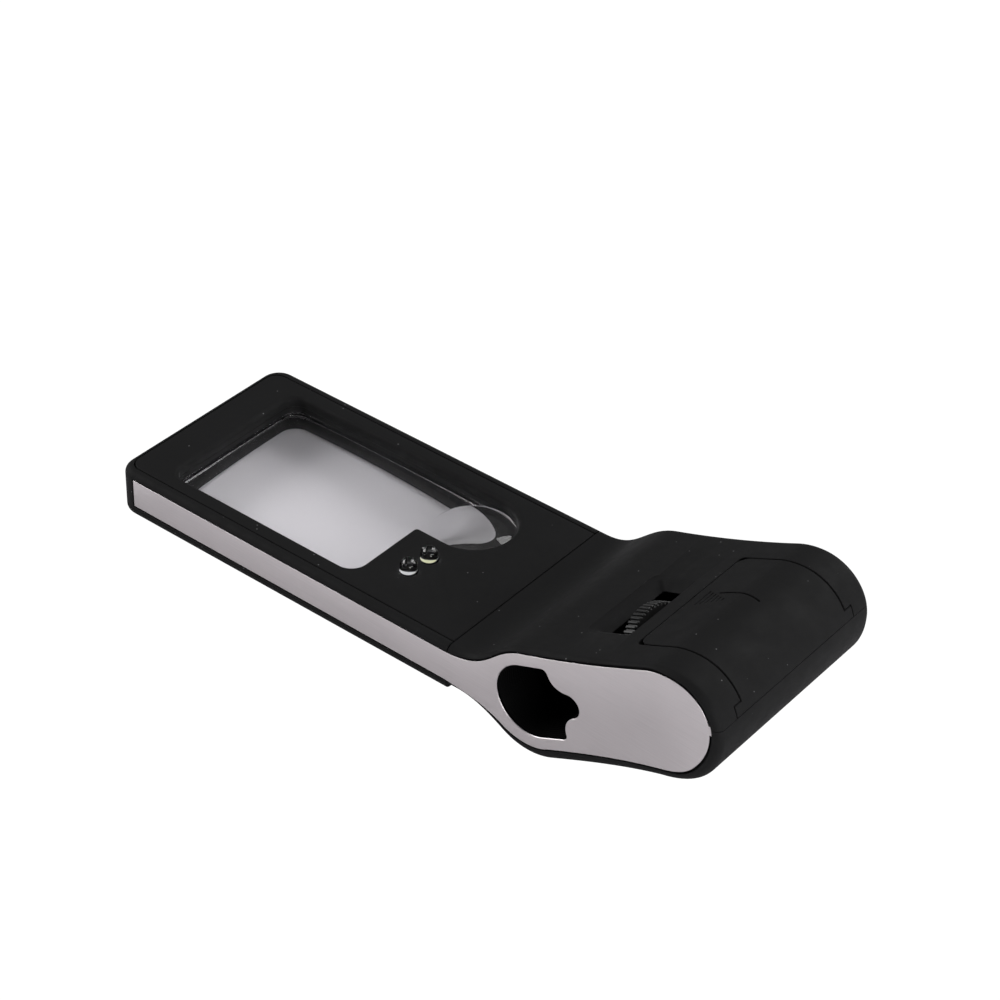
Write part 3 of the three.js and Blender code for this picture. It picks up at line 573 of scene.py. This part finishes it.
def clear(name, tint, roughness, ior=1.49):
    """A clear moulding that lets light through to what lies under it."""
    nodes = Nodes(name)
    smear = nodes.ramp(nodes.noise(130, 4), 0.45, 0.8, roughness, roughness + 0.05)
    nodes.set(Transmission_Weight=1.0, Base_Color=(*tint, 1), IOR=ior, Roughness=smear)
    through = nodes.add("BsdfTransparent", {"Color": (*(0.93 * t for t in tint), 1)})
    nodes.show("Is Shadow Ray", through)
    return nodes.material


def inner_black():
    """The black of the parts round the optics, darker than the case's black: partly their real black and partly
    painted shade for the dim inside of the aperture.
    """
    dark, light = (0.001, 0.001, 0.0011), (0.0018, 0.0018, 0.0019)
    nodes = moulded_plastic("inner_black", dark, light, 0.65, 0.00001)
    nodes.set(Specular_IOR_Level=0.06)
    return nodes.material


# Each plastic's colour, its lighter colour, its roughness and the height of its grain in metres
PLASTICS = {
    "wheel_black": ((0.008, 0.008, 0.008), (0.013, 0.013, 0.0135), 0.5, 0.00001),
    "circuit_board": ((0.015, 0.09, 0.035), (0.02, 0.13, 0.05), 0.35, 0.00001),
    "resistor_black": ((0.012, 0.012, 0.013), (0.02, 0.02, 0.022), 0.3, 0.000005),
    "white_emitter": ((0.62, 0.62, 0.4), (0.7, 0.7, 0.5), 0.4, 0.000002),
    "uv_emitter": ((0.6, 0.6, 0.6), (0.75, 0.75, 0.76), 0.3, 0.000002),
    "white_acetal": ((0.72, 0.7, 0.65), (0.8, 0.78, 0.73), 0.4, 0.000008),
    "red_insulation": ((0.4, 0.015, 0.012), (0.5, 0.03, 0.02), 0.35, 0.00001),
    "black_insulation": ((0.008, 0.008, 0.008), (0.014, 0.014, 0.014), 0.35, 0.00001),
}
METALS = {
    "plated_steel": ((0.62, 0.61, 0.6), 0.22),
    # lead_metal is coloured near black as painted shade: real lead frames are bright, but they sit in the dark
    # inside the lamps.
    "lead_metal": ((0.06, 0.06, 0.062), 0.4),
    "cell_steel": ((0.68, 0.68, 0.69), 0.26),
}
materials = {
    "soft_black_case": soft_black(),
    "inner_black": inner_black(),
    "brushed_side_plate": brushed_steel(),
    "clear_acrylic": clear("clear_acrylic", (0.98, 0.975, 0.985), 0.005),
    "led_epoxy": clear("led_epoxy", (0.95, 0.96, 0.97), 0.02, 1.53),
}
materials |= {name: moulded_plastic(name, *look).material for name, look in PLASTICS.items()}
materials |= {name: plain_metal(name, *look) for name, look in METALS.items()}


# ---- Lens section ----
def plate_pockets():
    """The recesses in both flanks that the side plates lie in, a little wider round the heel."""
    grown = grown_plate(PLATE["gap"], HEEL["gap"])
    return [
        block(grown, -HALF - 2, -HALF + PLATE_RECESS, CASE, SIDE),
        block(grown, HALF - PLATE_RECESS, HALF + 2, CASE, SIDE),
    ]


def rear_trim():
    """Cuts the lens section's pieces off square, just short of the grip."""
    return box(SLAB_LENGTH - GAP, SLAB_LENGTH + 9, -FAR, FAR, -5, 20)


def switch_slot():
    """The slot in the far flank that the switch's knob slides in."""
    x, z, reach, rise = SWITCH["x"], SWITCH["z"], 3.2, 1.1
    return box(x - reach, x + reach, 20, HALF + 1, z - rise, z + rise)


def frame_shell():
    """The frame of the lens section: a seat for the panel, the lamp and switch bays, and a tongue."""
    plan = rounded_rectangle(0, SLAB_LENGTH + 4, -HALF, HALF, SLAB_CORNER, 0)
    levels = rounded_levels(COVER_THICK + GAP, SLAB_THICK, 0.12, EDGE, 8)
    body = prism("frame", plan, levels, CASE)
    seat = SLAB_THICK - BEZEL_THICK - GAP
    pocket_half = HALF - 1.9
    pocket = rounded_rectangle(1.2, SLAB_LENGTH + 1, -pocket_half, pocket_half, 2.8, 0)
    lens_seat = window_outline(LENS["lip"] + GAP)
    tools = [
        rear_trim(),
        prism("tool", pocket, flared_levels(seat, SLAB_THICK, 0.12), CASE),
        block(window_outline(), 0, 12),
        block(lens_seat, 0, LENS["top"] + GAP),
        box(*LED_BAY, 0, SLAB_THICK),
        box(*SWITCH_BAY, 0, seat + 0.5),
        *plate_pockets(),
        switch_slot(),
    ]
    cut(body, *tools)
    root, half = SLAB_LENGTH - 1, TONGUE["half"]
    tongue = box(root, SLAB_LENGTH + TONGUE["reach"], -half, half, TONGUE["low"], TONGUE["high"])
    lip_half = HALF - 0.9
    lip = box(root, SLAB_LENGTH + 2 * GAP - 0.02, -lip_half, lip_half, 3, seat)
    join(body, tongue, lip)
    finish_piece(body, "frame_shell", "front_frame")


def bezel_panel():
    """The inset panel round the window, its opening's edge well rounded over, with the lamps' holes."""
    half = HALF - 2.15
    plan = rounded_rectangle(1.45, SLAB_LENGTH - GAP, -half, half, 2.6, 0)
    low = SLAB_THICK - BEZEL_THICK
    panel = prism("bezel", plan, rounded_levels(low, SLAB_THICK, 0.05, 0.18, 4), CASE)
    holes = [
        prism("tool", circle(x, y, LED_RADIUS + 0.15), flared_levels(5, SLAB_THICK, 0.25), CASE)
        for x, y in LEDS
    ]
    cut(panel, prism("tool", window_outline(), flared_levels(5, SLAB_THICK, 1, 10), CASE), *holes)
    finish_piece(panel, "bezel_panel", "lens_bezel")


def cover_panel():
    """The flat underside of the lens section, with a lip under the lens and the screws' holes."""
    plan = rounded_rectangle(0, SLAB_LENGTH + 4, -HALF, HALF, SLAB_CORNER, 0)
    panel = prism("cover", plan, rounded_levels(0, COVER_THICK, EDGE, 0.1, 8), CASE)
    rim = window_outline(LENS["lip"])
    join(panel, block(rim, COVER_THICK - 0.5, LENS["bottom"] - GAP))
    flare = 0.8
    opening = [(flare, -1), (flare, 0)] + [
        (flare * (1 - math.sin(a)), flare * (1 - math.cos(a)))
        for a in (math.pi / 2 * i / 6 for i in range(1, 7))
    ]
    tools = [rear_trim(), prism("tool", window_outline(), opening + [(0, 8)], CASE)]
    broken_edge = [(0.2, -1), (0.2, 0), (0, 0.2), (0, 1.1)]
    for x, y in COVER_SCREWS:
        tools.append(block(circle(x, y, SCREW["shank_hole"], 32), -1, 4))
        tools.append(prism("tool", circle(x, y, SCREW["head_hole"]), broken_edge, CASE))
    cut(panel, *tools)
    finish_piece(panel, "cover_panel", "bottom_cover")


def lens_face(points):
    """Half the large lens's thickness at each point: a spherical cap that eases into a thin web."""
    square = ((points - (LENS["x"], 0)) ** 2).sum(1)
    cap = LENS["half"] - square / (2 * LENS["curve"])
    return (cap + LENS["web"] + np.sqrt((cap - LENS["web"]) ** 2 + LENS["blend"])) / 2


def large_lens():
    """The large lens, running on past the window's rear end, with its edges just broken."""
    front, rear, side, corner = (WINDOW[k] for k in ("front", "rear", "side", "corner"))
    outline = rounded_rectangle(front, rear + 20, -side, side, corner, 0.5)
    outline = divided(outline, LENS["step"])
    middle = np.array((LENS["x"], 0))
    inner = offset(outline, -0.2)
    half = [(middle + (inner - middle) * share, 0) for share in np.linspace(0.02, 1, 36)]
    edge = ((0.1, 0.02), (0.04, 0.06), (0.02, 0.12))
    half += [(offset(outline, -inset), drop) for inset, drop in edge]
    rings = []
    for sign, order in ((1, half), (-1, half[::-1])):
        for points, drop in order:
            height = LENS["middle"] + sign * (lens_face(points) - drop)
            rings.append(np.column_stack((points, height)))
    return loft("tool", rings, CASE)


def small_lens():
    """The small round lens, a steep dome on a short cylinder."""
    round_y = (WINDOW["notch"] + WINDOW["side"]) / 2
    place = CASE @ Matrix.Translation((WINDOW["round"], round_y, LENS["middle"]))
    radius, height, stand = DOME["radius"], DOME["height"], DOME["stand"]
    ball = (radius**2 + height**2) / (2 * height)
    spread = math.asin(radius / ball)
    cap = [
        (ball * math.sin(a), ball * math.cos(a) - ball + height + stand)
        for a in (spread * (1 - i / 24) for i in range(24))
    ]
    return turned("tool", [(0, 0), (radius, 0)] + cap + [(0, height + stand)], place, 96)


def lens_moulding():
    """The acrylic: a flange round the window, and a thin web that carries both lenses."""
    flange = window_outline(LENS["lip"])
    levels = rounded_levels(LENS["bottom"], LENS["top"], 0.15, 0.15, 4)
    moulding = prism("lens", flange, levels, CASE)
    cut(moulding, block(window_outline(-0.05), 0, 12))
    inside = window_outline(-0.02)
    low, high = LENS["middle"] - LENS["web"], LENS["middle"] + LENS["web"]
    web = block(inside, low, high)
    lens = common(large_lens(), block(inside, 0, 12))
    join(moulding, web, lens, small_lens())
    finish_piece(moulding, "lens_moulding", "magnifier_lens", "clear_acrylic")


# ---- Grip shells ----
def above_part(lift):
    """Everything above the line where the two grip shells meet."""
    shape = Outline(70, 5.6 + lift).line(82, 5.6 + lift)
    shape.line(GRIP_ORIGIN.x, GRIP_ORIGIN.z + lift)
    shape.line(126.5, GRIP_ORIGIN.z + 11.65 + lift)
    shape.line(134, DOOR["part"] + lift).line(150, DOOR["part"] + lift)
    shape.line(150, 60).line(70, 60)
    return block(shape.closed(), -40, 40, CASE, SIDE)


def grip_solid(name):
    """The grip's outside, rounded over at both flanks."""
    outline = grip_outline(SLAB_LENGTH - 5)
    solid = prism(name, outline, rounded_levels(-HALF, HALF, EDGE, EDGE, 9), CASE, SIDE)
    return cut(solid, box(60, SLAB_LENGTH + 2 * GAP, -FAR, FAR, -20, 60))


def grip_hollow():
    """The space inside the grip's walls."""
    inner = offset(grip_outline(), -WALL)
    reach = HALF - PLATE_RECESS - 1.2
    return block(inner, -reach, reach, CASE, SIDE)


def tunnels():
    """The openings through the flanks for the objective's liner and the microscope's sleeve."""
    shroud = offset(aperture_outline(), 0.9)
    return [
        block(shroud, -HALF - 1, -14, GRIP, SIDE),
        block(circle(0, 0, SLEEVE + GAP, 72), 14, HALF + 1, GRIP, SIDE),
    ]


def dish_tool():
    """The finger dish over the focus wheel, with its rim rounded over, and the wheel's slot."""
    surface, depth = 9.72, 1.8
    rim = (11.2, 18.75, -12.5, 5.6)
    slot = (14.05, 18.75, -11.9, 2.8)
    wall = ((0, 0.0), (0.35, 0.06), (1, depth - 0.42))  # share of the way to the rim, rise
    over = ((0.25, 0.2), (0.55, 0.08), (0.9, 0), (1.3, -0.06), (1.8, -0.25), (1.8, -3))  # out, drop
    rings = []
    for share, rise in wall:
        x0, x1, y0, y1 = (low + (high - low) * share for low, high in zip(slot, rim))
        outline = rounded_rectangle(x0, x1, y0, y1, 0.3 + 0.5 * share, 0.25)
        rings.append(lifted(outline, surface - depth + rise))
    x0, x1, y0, y1 = rim
    for out, drop in over:
        mouth = rounded_rectangle(x0 - out, x1 + 0.15, y0 - out, y1 + out, 0.8 + out, 0.25)
        rings.append(lifted(mouth, surface - drop))
    dish = loft("tool", rings, GRIP)
    x0, x1, y0, y1 = slot
    opening = rounded_rectangle(x0, x1, y0, y1, 0.3, 0.25)
    return join(dish, block(opening, 4, surface, GRIP))


def door_region(grow):
    """The hatch's share of the grip: its opening if grown, which has tighter corners, or its skin."""
    front, half, corner = DOOR["front"], DOOR["half"], DOOR["corner"]
    corner = 1 if grow > 0 else corner
    side = half + (grow if grow > 0 else 2 * grow)
    plan = rounded_rectangle(front - grow, 60, -side, side, corner + grow, 0)
    region = block(plan, -8, FAR, GRIP)
    reach = DOOR["step"] + grow
    join(region, box(130, 150, -reach, reach, DOOR["part"], DOOR["step_top"] + grow))
    return common(region, above_part(-0.01 if grow > 0 else 0.12))


def grip_mouth():
    """The opening in the grip's front wall for the tongue and the wires."""
    half = TONGUE["half"] + 3
    return box(SLAB_LENGTH - 2, 84, -half, half, TONGUE["low"] - 0.9, TONGUE["high"] + 1.6)


def upper_shell():
    shell = common(grip_solid("upper"), above_part(0.06))
    cut(shell, grip_hollow(), grip_mouth(), *plate_pockets(), *tunnels(), dish_tool(), door_region(0.2))
    finish_piece(shell, "upper_shell", "upper_housing")


def lower_shell():
    shell = cut(grip_solid("lower"), above_part(-0.06))
    cut(shell, grip_hollow(), grip_mouth(), *plate_pockets(), *tunnels())
    posts = []
    holes = []
    for x, y, head in HOUSING_SCREWS:
        head_hole, shank_hole = circle(x, y, SCREW["head_hole"]), circle(x, y, SCREW["shank_hole"], 32)
        holes.append(block(head_hole, -5, head + 1.1))
        holes.append(block(shank_hole, -5, 20))
    for x, y, head in HOUSING_SCREWS[2:]:
        post = block(circle(x, y, 2.4), -5, 13)
        cut(post, above_part(-0.2))
        lining = offset(grip_outline(), -WALL + 0.4)
        reach = HALF - 1.4
        posts.append(common(post, block(lining, -reach, reach, CASE, SIDE)))
    join(shell, *posts)
    cut(shell, *holes)
    finish_piece(shell, "lower_shell", "lower_housing")


def shallow(plan, depth):
    """A cutter that sinks a plan outline of the grip frame to depth below the grip's skin."""
    tool = block(plan, -3, 20, GRIP)
    under = offset(grip_outline(), -depth)
    return cut(tool, block(under, -FAR, FAR, CASE, SIDE))


def strip_outline(points, width):
    """A band of the given width along a line of points, with round ends."""
    line = np.array(points, float)
    ahead = np.gradient(line, axis=0)
    ahead /= np.linalg.norm(ahead, axis=1)[:, None]
    side = ahead[:, ::-1] * (-1, 1) * width / 2
    start = math.degrees(math.atan2(*ahead[0][::-1]))
    end = math.degrees(math.atan2(*ahead[-1][::-1]))
    shape = Outline(*(line[0] + side[0]))
    shape.arc(*line[0], width / 2, start + 90, start + 270, 8)
    for point in line - side:
        shape.line(*point)
    shape.arc(*line[-1], width / 2, end - 90, end + 90, 8)
    for point in (line + side)[::-1]:
        shape.line(*point)
    return shape.closed()


def door_marks():
    """The ribbed arrowhead and its curved tail, which show the way the hatch opens."""
    base, apex = 24, 29.2
    middle, spread = 0.8, 2.5
    ribs, rib_width, rib_depth = 6, 0.36, 0.1
    tail_width, tail_depth = 0.42, 0.5
    tools = []
    for i in range(ribs):
        share = (i + 0.4) / ribs
        x, reach = base + (apex - base) * share, spread * (1 - share)
        rib = strip_outline([(x, middle - reach), (x, middle + reach)], rib_width)
        tools.append(shallow(rib, rib_depth))
    tail = [(26.6 + 8.4 * t, 2.9 - 0.3 * t + 2.6 * t * (1 - t)) for t in np.linspace(0, 1, 13)]
    tools.append(shallow(strip_outline(tail, tail_width), tail_depth))
    return tools


def hatch_shell():
    """The battery hatch: its share of the grip's skin, and the tongue that hooks under the grip."""
    skin = cut(grip_solid("hatch"), grip_hollow())
    common(skin, door_region(-0.1))
    front = DOOR["front"]
    tongue = box(front - 2, front + 2.2, -6, 6, 6.7, 7.5, GRIP)
    join(tongue, box(front + 0.3, front + 2.2, -6, 6, 6.9, 8.8, GRIP))
    join(skin, tongue)
    cut(skin, *door_marks())
    finish_piece(skin, "hatch_shell", "battery_door", body="hatch")


# ---- Side plates ----
def side_plate(name, node, side, openings):
    """A sheet with softened edges and a small tab at the heel that touches the recess."""
    low, high = sorted((side * (HALF - PLATE["face"]), side * (HALF - PLATE["back"])))
    bevels = (0.03, 0.09) if side > 0 else (0.09, 0.03)
    levels = rounded_levels(low, high, *bevels, 3)
    sheet = prism(name, grown_plate(0, HEEL["plate"]), levels, CASE, SIDE)
    tab = box(134.5, 137.4, low + 0.02, high - 0.02, 21.6, 23.4)
    grown = grown_plate(0, HEEL["plate"] + HEEL["gap"])
    join(sheet, common(tab, block(grown, -FAR, FAR, CASE, SIDE)))
    cut(sheet, *openings)
    finish_piece(sheet, name, node, "brushed_side_plate", sharp=25)


def side_plates():
    """The near plate, open for the objective, and the far one, open for the eyepiece and the switch."""
    lip, face = 0.12, HALF - PLATE["face"]
    mouth = [(lip, -HALF - 1), (lip, -face), (0, lip - face), (0, 1.5 - HALF)]
    opening = prism("tool", aperture_outline(), mouth, GRIP, SIDE)
    side_plate("near_plate", "objective_side_plate", -1, [opening])
    eye = [(grow, -level) for grow, level in mouth[::-1]]
    hole = prism("tool", circle(0, 0, 6.15, 72), eye, GRIP, SIDE)
    side_plate("far_plate", "eyepiece_side_plate", 1, [hole, switch_slot()])


# ---- Focus wheel ----
# Carries x, y and z to y, z and x
ALONG = Matrix(((0, 0, 1, 0), (1, 0, 0, 0), (0, 1, 0, 0), (0, 0, 0, 1)))


def focus_wheel():
    """The thumb wheel: rounded teeth, chamfered at both faces, and a dished web with a hub."""
    radius, teeth = WHEEL["radius"], WHEEL["teeth"]
    depth, rim_width, hub = 0.42, 2.2, 2.4
    # a tooth's outline: share of the pitch, and height in tooth depths below the tip
    tooth = [(-0.5, -1), (-0.31, -1), (-0.25, -0.12), (-0.2, 0), (0.2, 0), (0.25, -0.12), (0.31, -1)]

    def toothed(lift):
        points = []
        for i in range(teeth):
            for place, rise in tooth:
                angle = 2 * math.pi * (i + place) / teeth
                r = radius + rise * depth + lift
                points.append((r * math.cos(angle), r * math.sin(angle)))
        return np.array(points)

    place = GRIP @ Matrix.Translation((0, FOCUS_POINT.y, FOCUS_POINT.z)) @ ALONG
    low, high = WHEEL["from"], WHEEL["to"]
    rim = low + rim_width
    levels = ((-0.2, low), (0, low + 0.15), (0, rim - 0.1), (-0.15, rim))
    wheel = loft("wheel", [lifted(toothed(lift), level) for lift, level in levels], place)
    join(wheel, turned("tool", [(0, low + 1), (hub, low + 1), (hub, high), (0, high)], place))
    for start, end in ((low - 1, low + 0.5), (rim - 0.5, rim + 1)):
        web = [(hub + 0.2, start), (7.6, start), (7.4, end), (hub + 0.4, end)]
        dish = turned("tool", web, place, 72)
        cut(wheel, dish)
    cut(wheel, block(circle(0, 0, 1.28), low - 1, high + 1, place))
    finish_piece(wheel, "thumb_wheel", "focus_wheel", "wheel_black", "focus_drive", 28)


# ---- Lamps ----
def lamp(name, matrix, emitter):
    """A round LED: a clear domed body with a flange, and its lead frame, cup and emitter inside."""
    flange, lead = 1.95, 0.25
    dome = [
        (LED_RADIUS * math.cos(a), LED_HEIGHT - LED_RADIUS + LED_RADIUS * math.sin(a))
        for a in (math.pi / 2 * i / 14 for i in range(14))
    ]
    outline = [(0, 0.02), (flange, 0.02), (flange, 0.6), (LED_RADIUS, 0.66)]
    body = turned("lamp", soften(outline, 0.1) + dome + [(0, LED_HEIGHT)], matrix, 48)
    finish_piece(body, name + "_lamp", name + "_led", "led_epoxy", sharp=40)
    cup_place = matrix @ Matrix.Translation((-0.2, 0, 0))
    cup_profile = [(0, 1.4), (0.6, 1.4), (1, 2.4), (0.9, 2.4), (0.55, 1.7), (0, 1.7)]
    cup = turned("cup", soften(cup_profile, 0.05), cup_place, 32)
    for x in (-0.9, 0.9):
        join(cup, box(x - 0.28, x + 0.28, -lead, lead, 0.5, 1.6, matrix))
        join(cup, box(x - lead, x + lead, -lead, lead, -4, 0.7, matrix))
    join(cup, box(-0.95, 0.2, -lead, lead, 1.3, 1.6, matrix))
    # The lead frame and cup take lead_metal's near black, which is painted shade for the dim inside of the lamp.
    finish_piece(cup, name + "_lead_frame", material="lead_metal")
    fill_profile = [(0, 1.75), (0.56, 1.75), (0.86, 2.3), (0.6, 2.42), (0, 2.45)]
    fill = turned("fill", fill_profile, cup_place, 32)
    finish_piece(fill, name + "_emitter", material=emitter)


def lamps():
    """The white and ultraviolet torch lamps, and the one that lights what the microscope looks at."""
    base = SLAB_THICK + LED_STANDS - LED_HEIGHT
    for name, (x, y) in zip(("white", "uv"), LEDS):
        lamp(name, CASE @ Matrix.Translation((x, y, base)), name + "_emitter")
    side = GRIP @ Matrix.Translation((9, -12.8, 0)) @ Matrix.Rotation(math.pi / 2, 4, "X")
    lamp("specimen", side, "white_emitter")


# ---- Microscope ----
ACROSS = Matrix.Rotation(-math.pi / 2, 4, "X")  # turns a lathe's z axis to point along +y


def microscope():
    """The sliding tube with its rack and front lens, and the fixed lenses and eyepiece cup."""
    place = GRIP @ ACROSS
    grooves = []
    for i in range(7):
        y = -12.2 + i * 0.45
        grooves += [(3.75 + i * 0.13, y), (3.6 + i * 0.13, y + 0.22)]
    profile = [(1.7, -13), (2.6, -13), (2.9, -12.7), (3.5, -12.6)] + grooves
    profile += [(4.7, -9.2), (5.9, -9.0), (6, -8.8), (6, 8.4), (5.9, 8.5), (4.6, 8.5)]
    profile += [(4.6, -7.8), (1.7, -9.8)]
    barrel = turned("barrel", profile, place, 96)
    join(barrel, box(5.2, 8, -8.3, 3, -4, -2.8, GRIP), focus_rack())
    finish_piece(barrel, "objective_tube_body", "objective_barrel", "inner_black", "objective_tube")
    bulged_lens("front_lens", "objective_lens", "objective_tube", 1.6, 0.9, 0.35, -11.4)
    bulged_lens("inner_lens", "field_lens", "case", 6.05, 1, 0.7, 13.2)
    bulged_lens("viewing_lens", "eye_lens", "case", 4.2, 1.4, 0.8, 17.6)
    cup = [(4.3, 15.2), (6.05, 15.2), (6.05, 22.3), (5.9, 22.4), (5.6, 22.4)]
    cup += [(5.3, 22.1), (4.6, 19.6), (4.3, 19.3)]
    cup = turned("cup", cup, place, 96)
    finish_piece(cup, "viewing_cup", "eyepiece_cup", "inner_black")


def focus_rack():
    """The toothed rack that the wheel's pinion drives, a gap between teeth under the axis."""
    pitch, teeth, root, tip = math.pi / 2, 6, -2.55, -1.48
    start = FOCUS_POINT.y - (teeth + 1) * pitch / 2
    points = [(start, -4), (start, root)]
    for i in range(1, teeth + 1):
        middle = start + i * pitch
        for reach, level in ((-0.52, root), (-0.14, tip), (0.14, tip), (0.52, root)):
            points.append((middle + reach, level))
    end = start + (teeth + 1) * pitch
    points += [(end, root), (end, -4)]
    outline = np.array(points[::-1])
    return prism("tool", outline, rounded_levels(7.9, 10.5, 0.08, 0.08, 2), GRIP @ ALONG)


def bulged_lens(name, node, body, radius, edge, bulge, y):
    """A lens across the grip, edge thick at its rim and bulging by bulge on both faces."""
    face = [(radius * i / 12, edge / 2 + bulge * (1 - (i / 12) ** 2)) for i in range(13)]
    profile = [(r, -h) for r, h in face] + face[::-1]
    lens = turned("lens", profile, GRIP @ ACROSS @ Matrix.Translation((0, 0, y)), 72)
    finish_piece(lens, name, node, "clear_acrylic", body, 45)


def shroud():
    """The black liner between the side plate's opening and the barrel, with fine light-trap ridges."""
    front = -HALF + PLATE_RECESS + 0.1
    wall, ridge, spacing = 0.7, 0.07, 0.6
    liner = prism("shroud", aperture_outline(), [(wall, front), (wall, -12.6)], GRIP, SIDE)
    ridges = []
    level = front - 0.5
    while level < -12:
        ridges += [(0, level), (ridge, level + spacing / 2)]
        level += spacing
    cut(liner, prism("tool", aperture_outline(), ridges, GRIP, SIDE))
    finish_piece(liner, "aperture_liner", "objective_shroud", "inner_black", sharp=20)


# ---- Fasteners and switch ----
def screws():
    """The case's screws: a domed cross head and a threaded shank."""
    sunk, pitch = SCREW["seat"], SCREW["pitch"]
    seats = [(f"cover_screw_{i}", x, y, sunk, 4.4) for i, (x, y) in enumerate(COVER_SCREWS, 1)]
    tips = (9.1, 9.1, 20, 20)
    for i, (x, y, head) in enumerate(HOUSING_SCREWS):
        seat = head + sunk
        seats.append((f"housing_screw_{i + 1}", x, y, seat, tips[i] - seat))
    for node, x, y, seat, length in seats:
        place = CASE @ Matrix.Translation((x, y, seat))
        head = soften([(0, -1), (1.5, -1), (1.9, -0.45), (1.9, 0), (1, 0)], 0.25)
        thread = []
        for i in range(int((length - 0.4) / pitch)):
            z = 0.1 + i * pitch
            thread += [(0.8, z), (1, z + pitch / 2)]
        point = [(0.8, length - 0.3), (0.3, length), (0, length)]
        screw = turned("screw", head + thread + point, place, 32)
        for turn in (0, math.pi / 2):
            blade = place @ Matrix.Rotation(turn + x, 4, "Z")
            cut(screw, box(-1.15, 1.15, -0.24, 0.24, -1.5, -0.5, blade))
        finish_piece(screw, node + "_body", node, "plated_steel", sharp=35)


def switch_knob():
    """The switch's knob, with grip grooves, and the stem that reaches the switch."""
    x, z = SWITCH["x"], SWITCH["z"]
    knob = prism(
        "knob",
        rounded_rectangle(x - 1.3, x + 1.3, z - 0.9, z + 0.9, 0.3),
        rounded_levels(HALF + 0.1, HALF + 1.3, 0.05, 0.25, 4),
        CASE,
        SIDE,
    )
    for i in (-1, 0, 1):
        groove = box(x + 0.6 * i - 0.12, x + 0.6 * i + 0.12, HALF + 1.1, HALF + 2, z - 2, z + 2)
        cut(knob, groove)
    stem = box(x - 0.8, x + 0.8, 19.2, HALF + 0.5, z - 0.7, z + 0.7)
    join(knob, stem)
    finish_piece(knob, "switch_cap", "switch_knob", "wheel_black", "switch_slider")


def dress_cad_nodes():
    """CAD nodes that stay get their slot's material, smooth shading and softened edges."""
    for name, node in frame["nodes"].items():
        if node.hide_render:
            continue
        node.data.materials.clear()
        node.data.materials.append(materials[slots[name]])
        for face in node.data.polygons:
            face.use_smooth = True
        node.data.set_sharp_from_angle(angle=math.radians(32))
        bevel = node.modifiers.new("edges", "BEVEL")
        bevel.width = 0.05 * MM
        bevel.segments = 2
        bevel.limit_method = "ANGLE"
        bevel.angle_limit = math.radians(40)


# ---- Stage ----
def floor():
    """A pale floor, plain white to the camera, that still takes the object's reflections and shade."""
    half = 3.0
    corners = [(-half, -half, 0), (half, -half, 0), (half, half, 0), (-half, half, 0)]
    plane = mesh_object("floor", corners, [(0, 1, 2, 3)], Matrix())
    nodes = Nodes("floor")
    nodes.set(Base_Color=(0.73, 0.72, 0.74, 1), Roughness=0.7)
    glow = nodes.add("Emission", {"Color": (1, 1, 1, 1), "Strength": 1.05})
    nodes.show("Is Camera Ray", glow)
    plane.data.materials.append(nodes.material)


def lights():
    """Two soft boxes above and behind, and a low fill at the heel, in a dim white room."""
    world = bpy.data.worlds.new("studio")
    bpy.context.scene.world = world
    world.use_nodes = True
    background = world.node_tree.nodes["Background"]
    background.inputs["Color"].default_value = (1, 1, 1, 1)
    background.inputs["Strength"].default_value = 0.1
    target, distance = Vector((0.0, 0.0, 0.015)), 0.85
    for name, direction, size, power in (
        ("left_box", (-0.81, -0.31, 0.5), (0.55, 0.4), 4.0),
        ("back_box", (0.27, 0.76, 0.585), (0.75, 0.55), 4.4),
        ("right_fill", (0.9, -0.34, 0.3), (0.6, 0.34), 5.0),
    ):
        light = bpy.data.lights.new(name, "AREA")
        light.shape = "RECTANGLE"
        light.size, light.size_y = size
        light.energy = power
        box_object = bpy.data.objects.new(name, light)
        box_object.location = target + Vector(direction).normalized() * distance
        box_object.rotation_euler = (-Vector(direction)).to_track_quat("-Z", "Y").to_euler()
        bpy.context.scene.collection.objects.link(box_object)
    scene = bpy.context.scene
    scene.view_settings.view_transform = "Standard"
    scene.view_settings.look = "None"


def camera():
    """A long lens above and beside the microscope end; its pose is given in the case frame."""
    lens = bpy.data.cameras.new("camera")
    lens.lens = 100.6
    lens.sensor_width = 36
    lens.clip_start, lens.clip_end = 0.01, 10
    eye = bpy.data.objects.new("camera", lens)
    place = CASE @ Vector((316.27, -314.13, 325.0))
    turn = CASE.to_3x3().normalized()
    right = turn @ Vector((0.7784116, 0.62706468, 0.02941555))
    back = turn @ Vector((0.4869491, -0.63272318, 0.60211457))
    up = back.cross(right)
    eye.matrix_world = Matrix.Translation(place) @ Matrix((right, up, back)).transposed().to_4x4()
    bpy.context.scene.collection.objects.link(eye)
    bpy.context.scene.camera = eye


frame_shell()
bezel_panel()
cover_panel()
lens_moulding()
upper_shell()
lower_shell()
hatch_shell()
side_plates()
focus_wheel()
lamps()
microscope()
shroud()
screws()
switch_knob()
dress_cad_nodes()
floor()
lights()
camera()
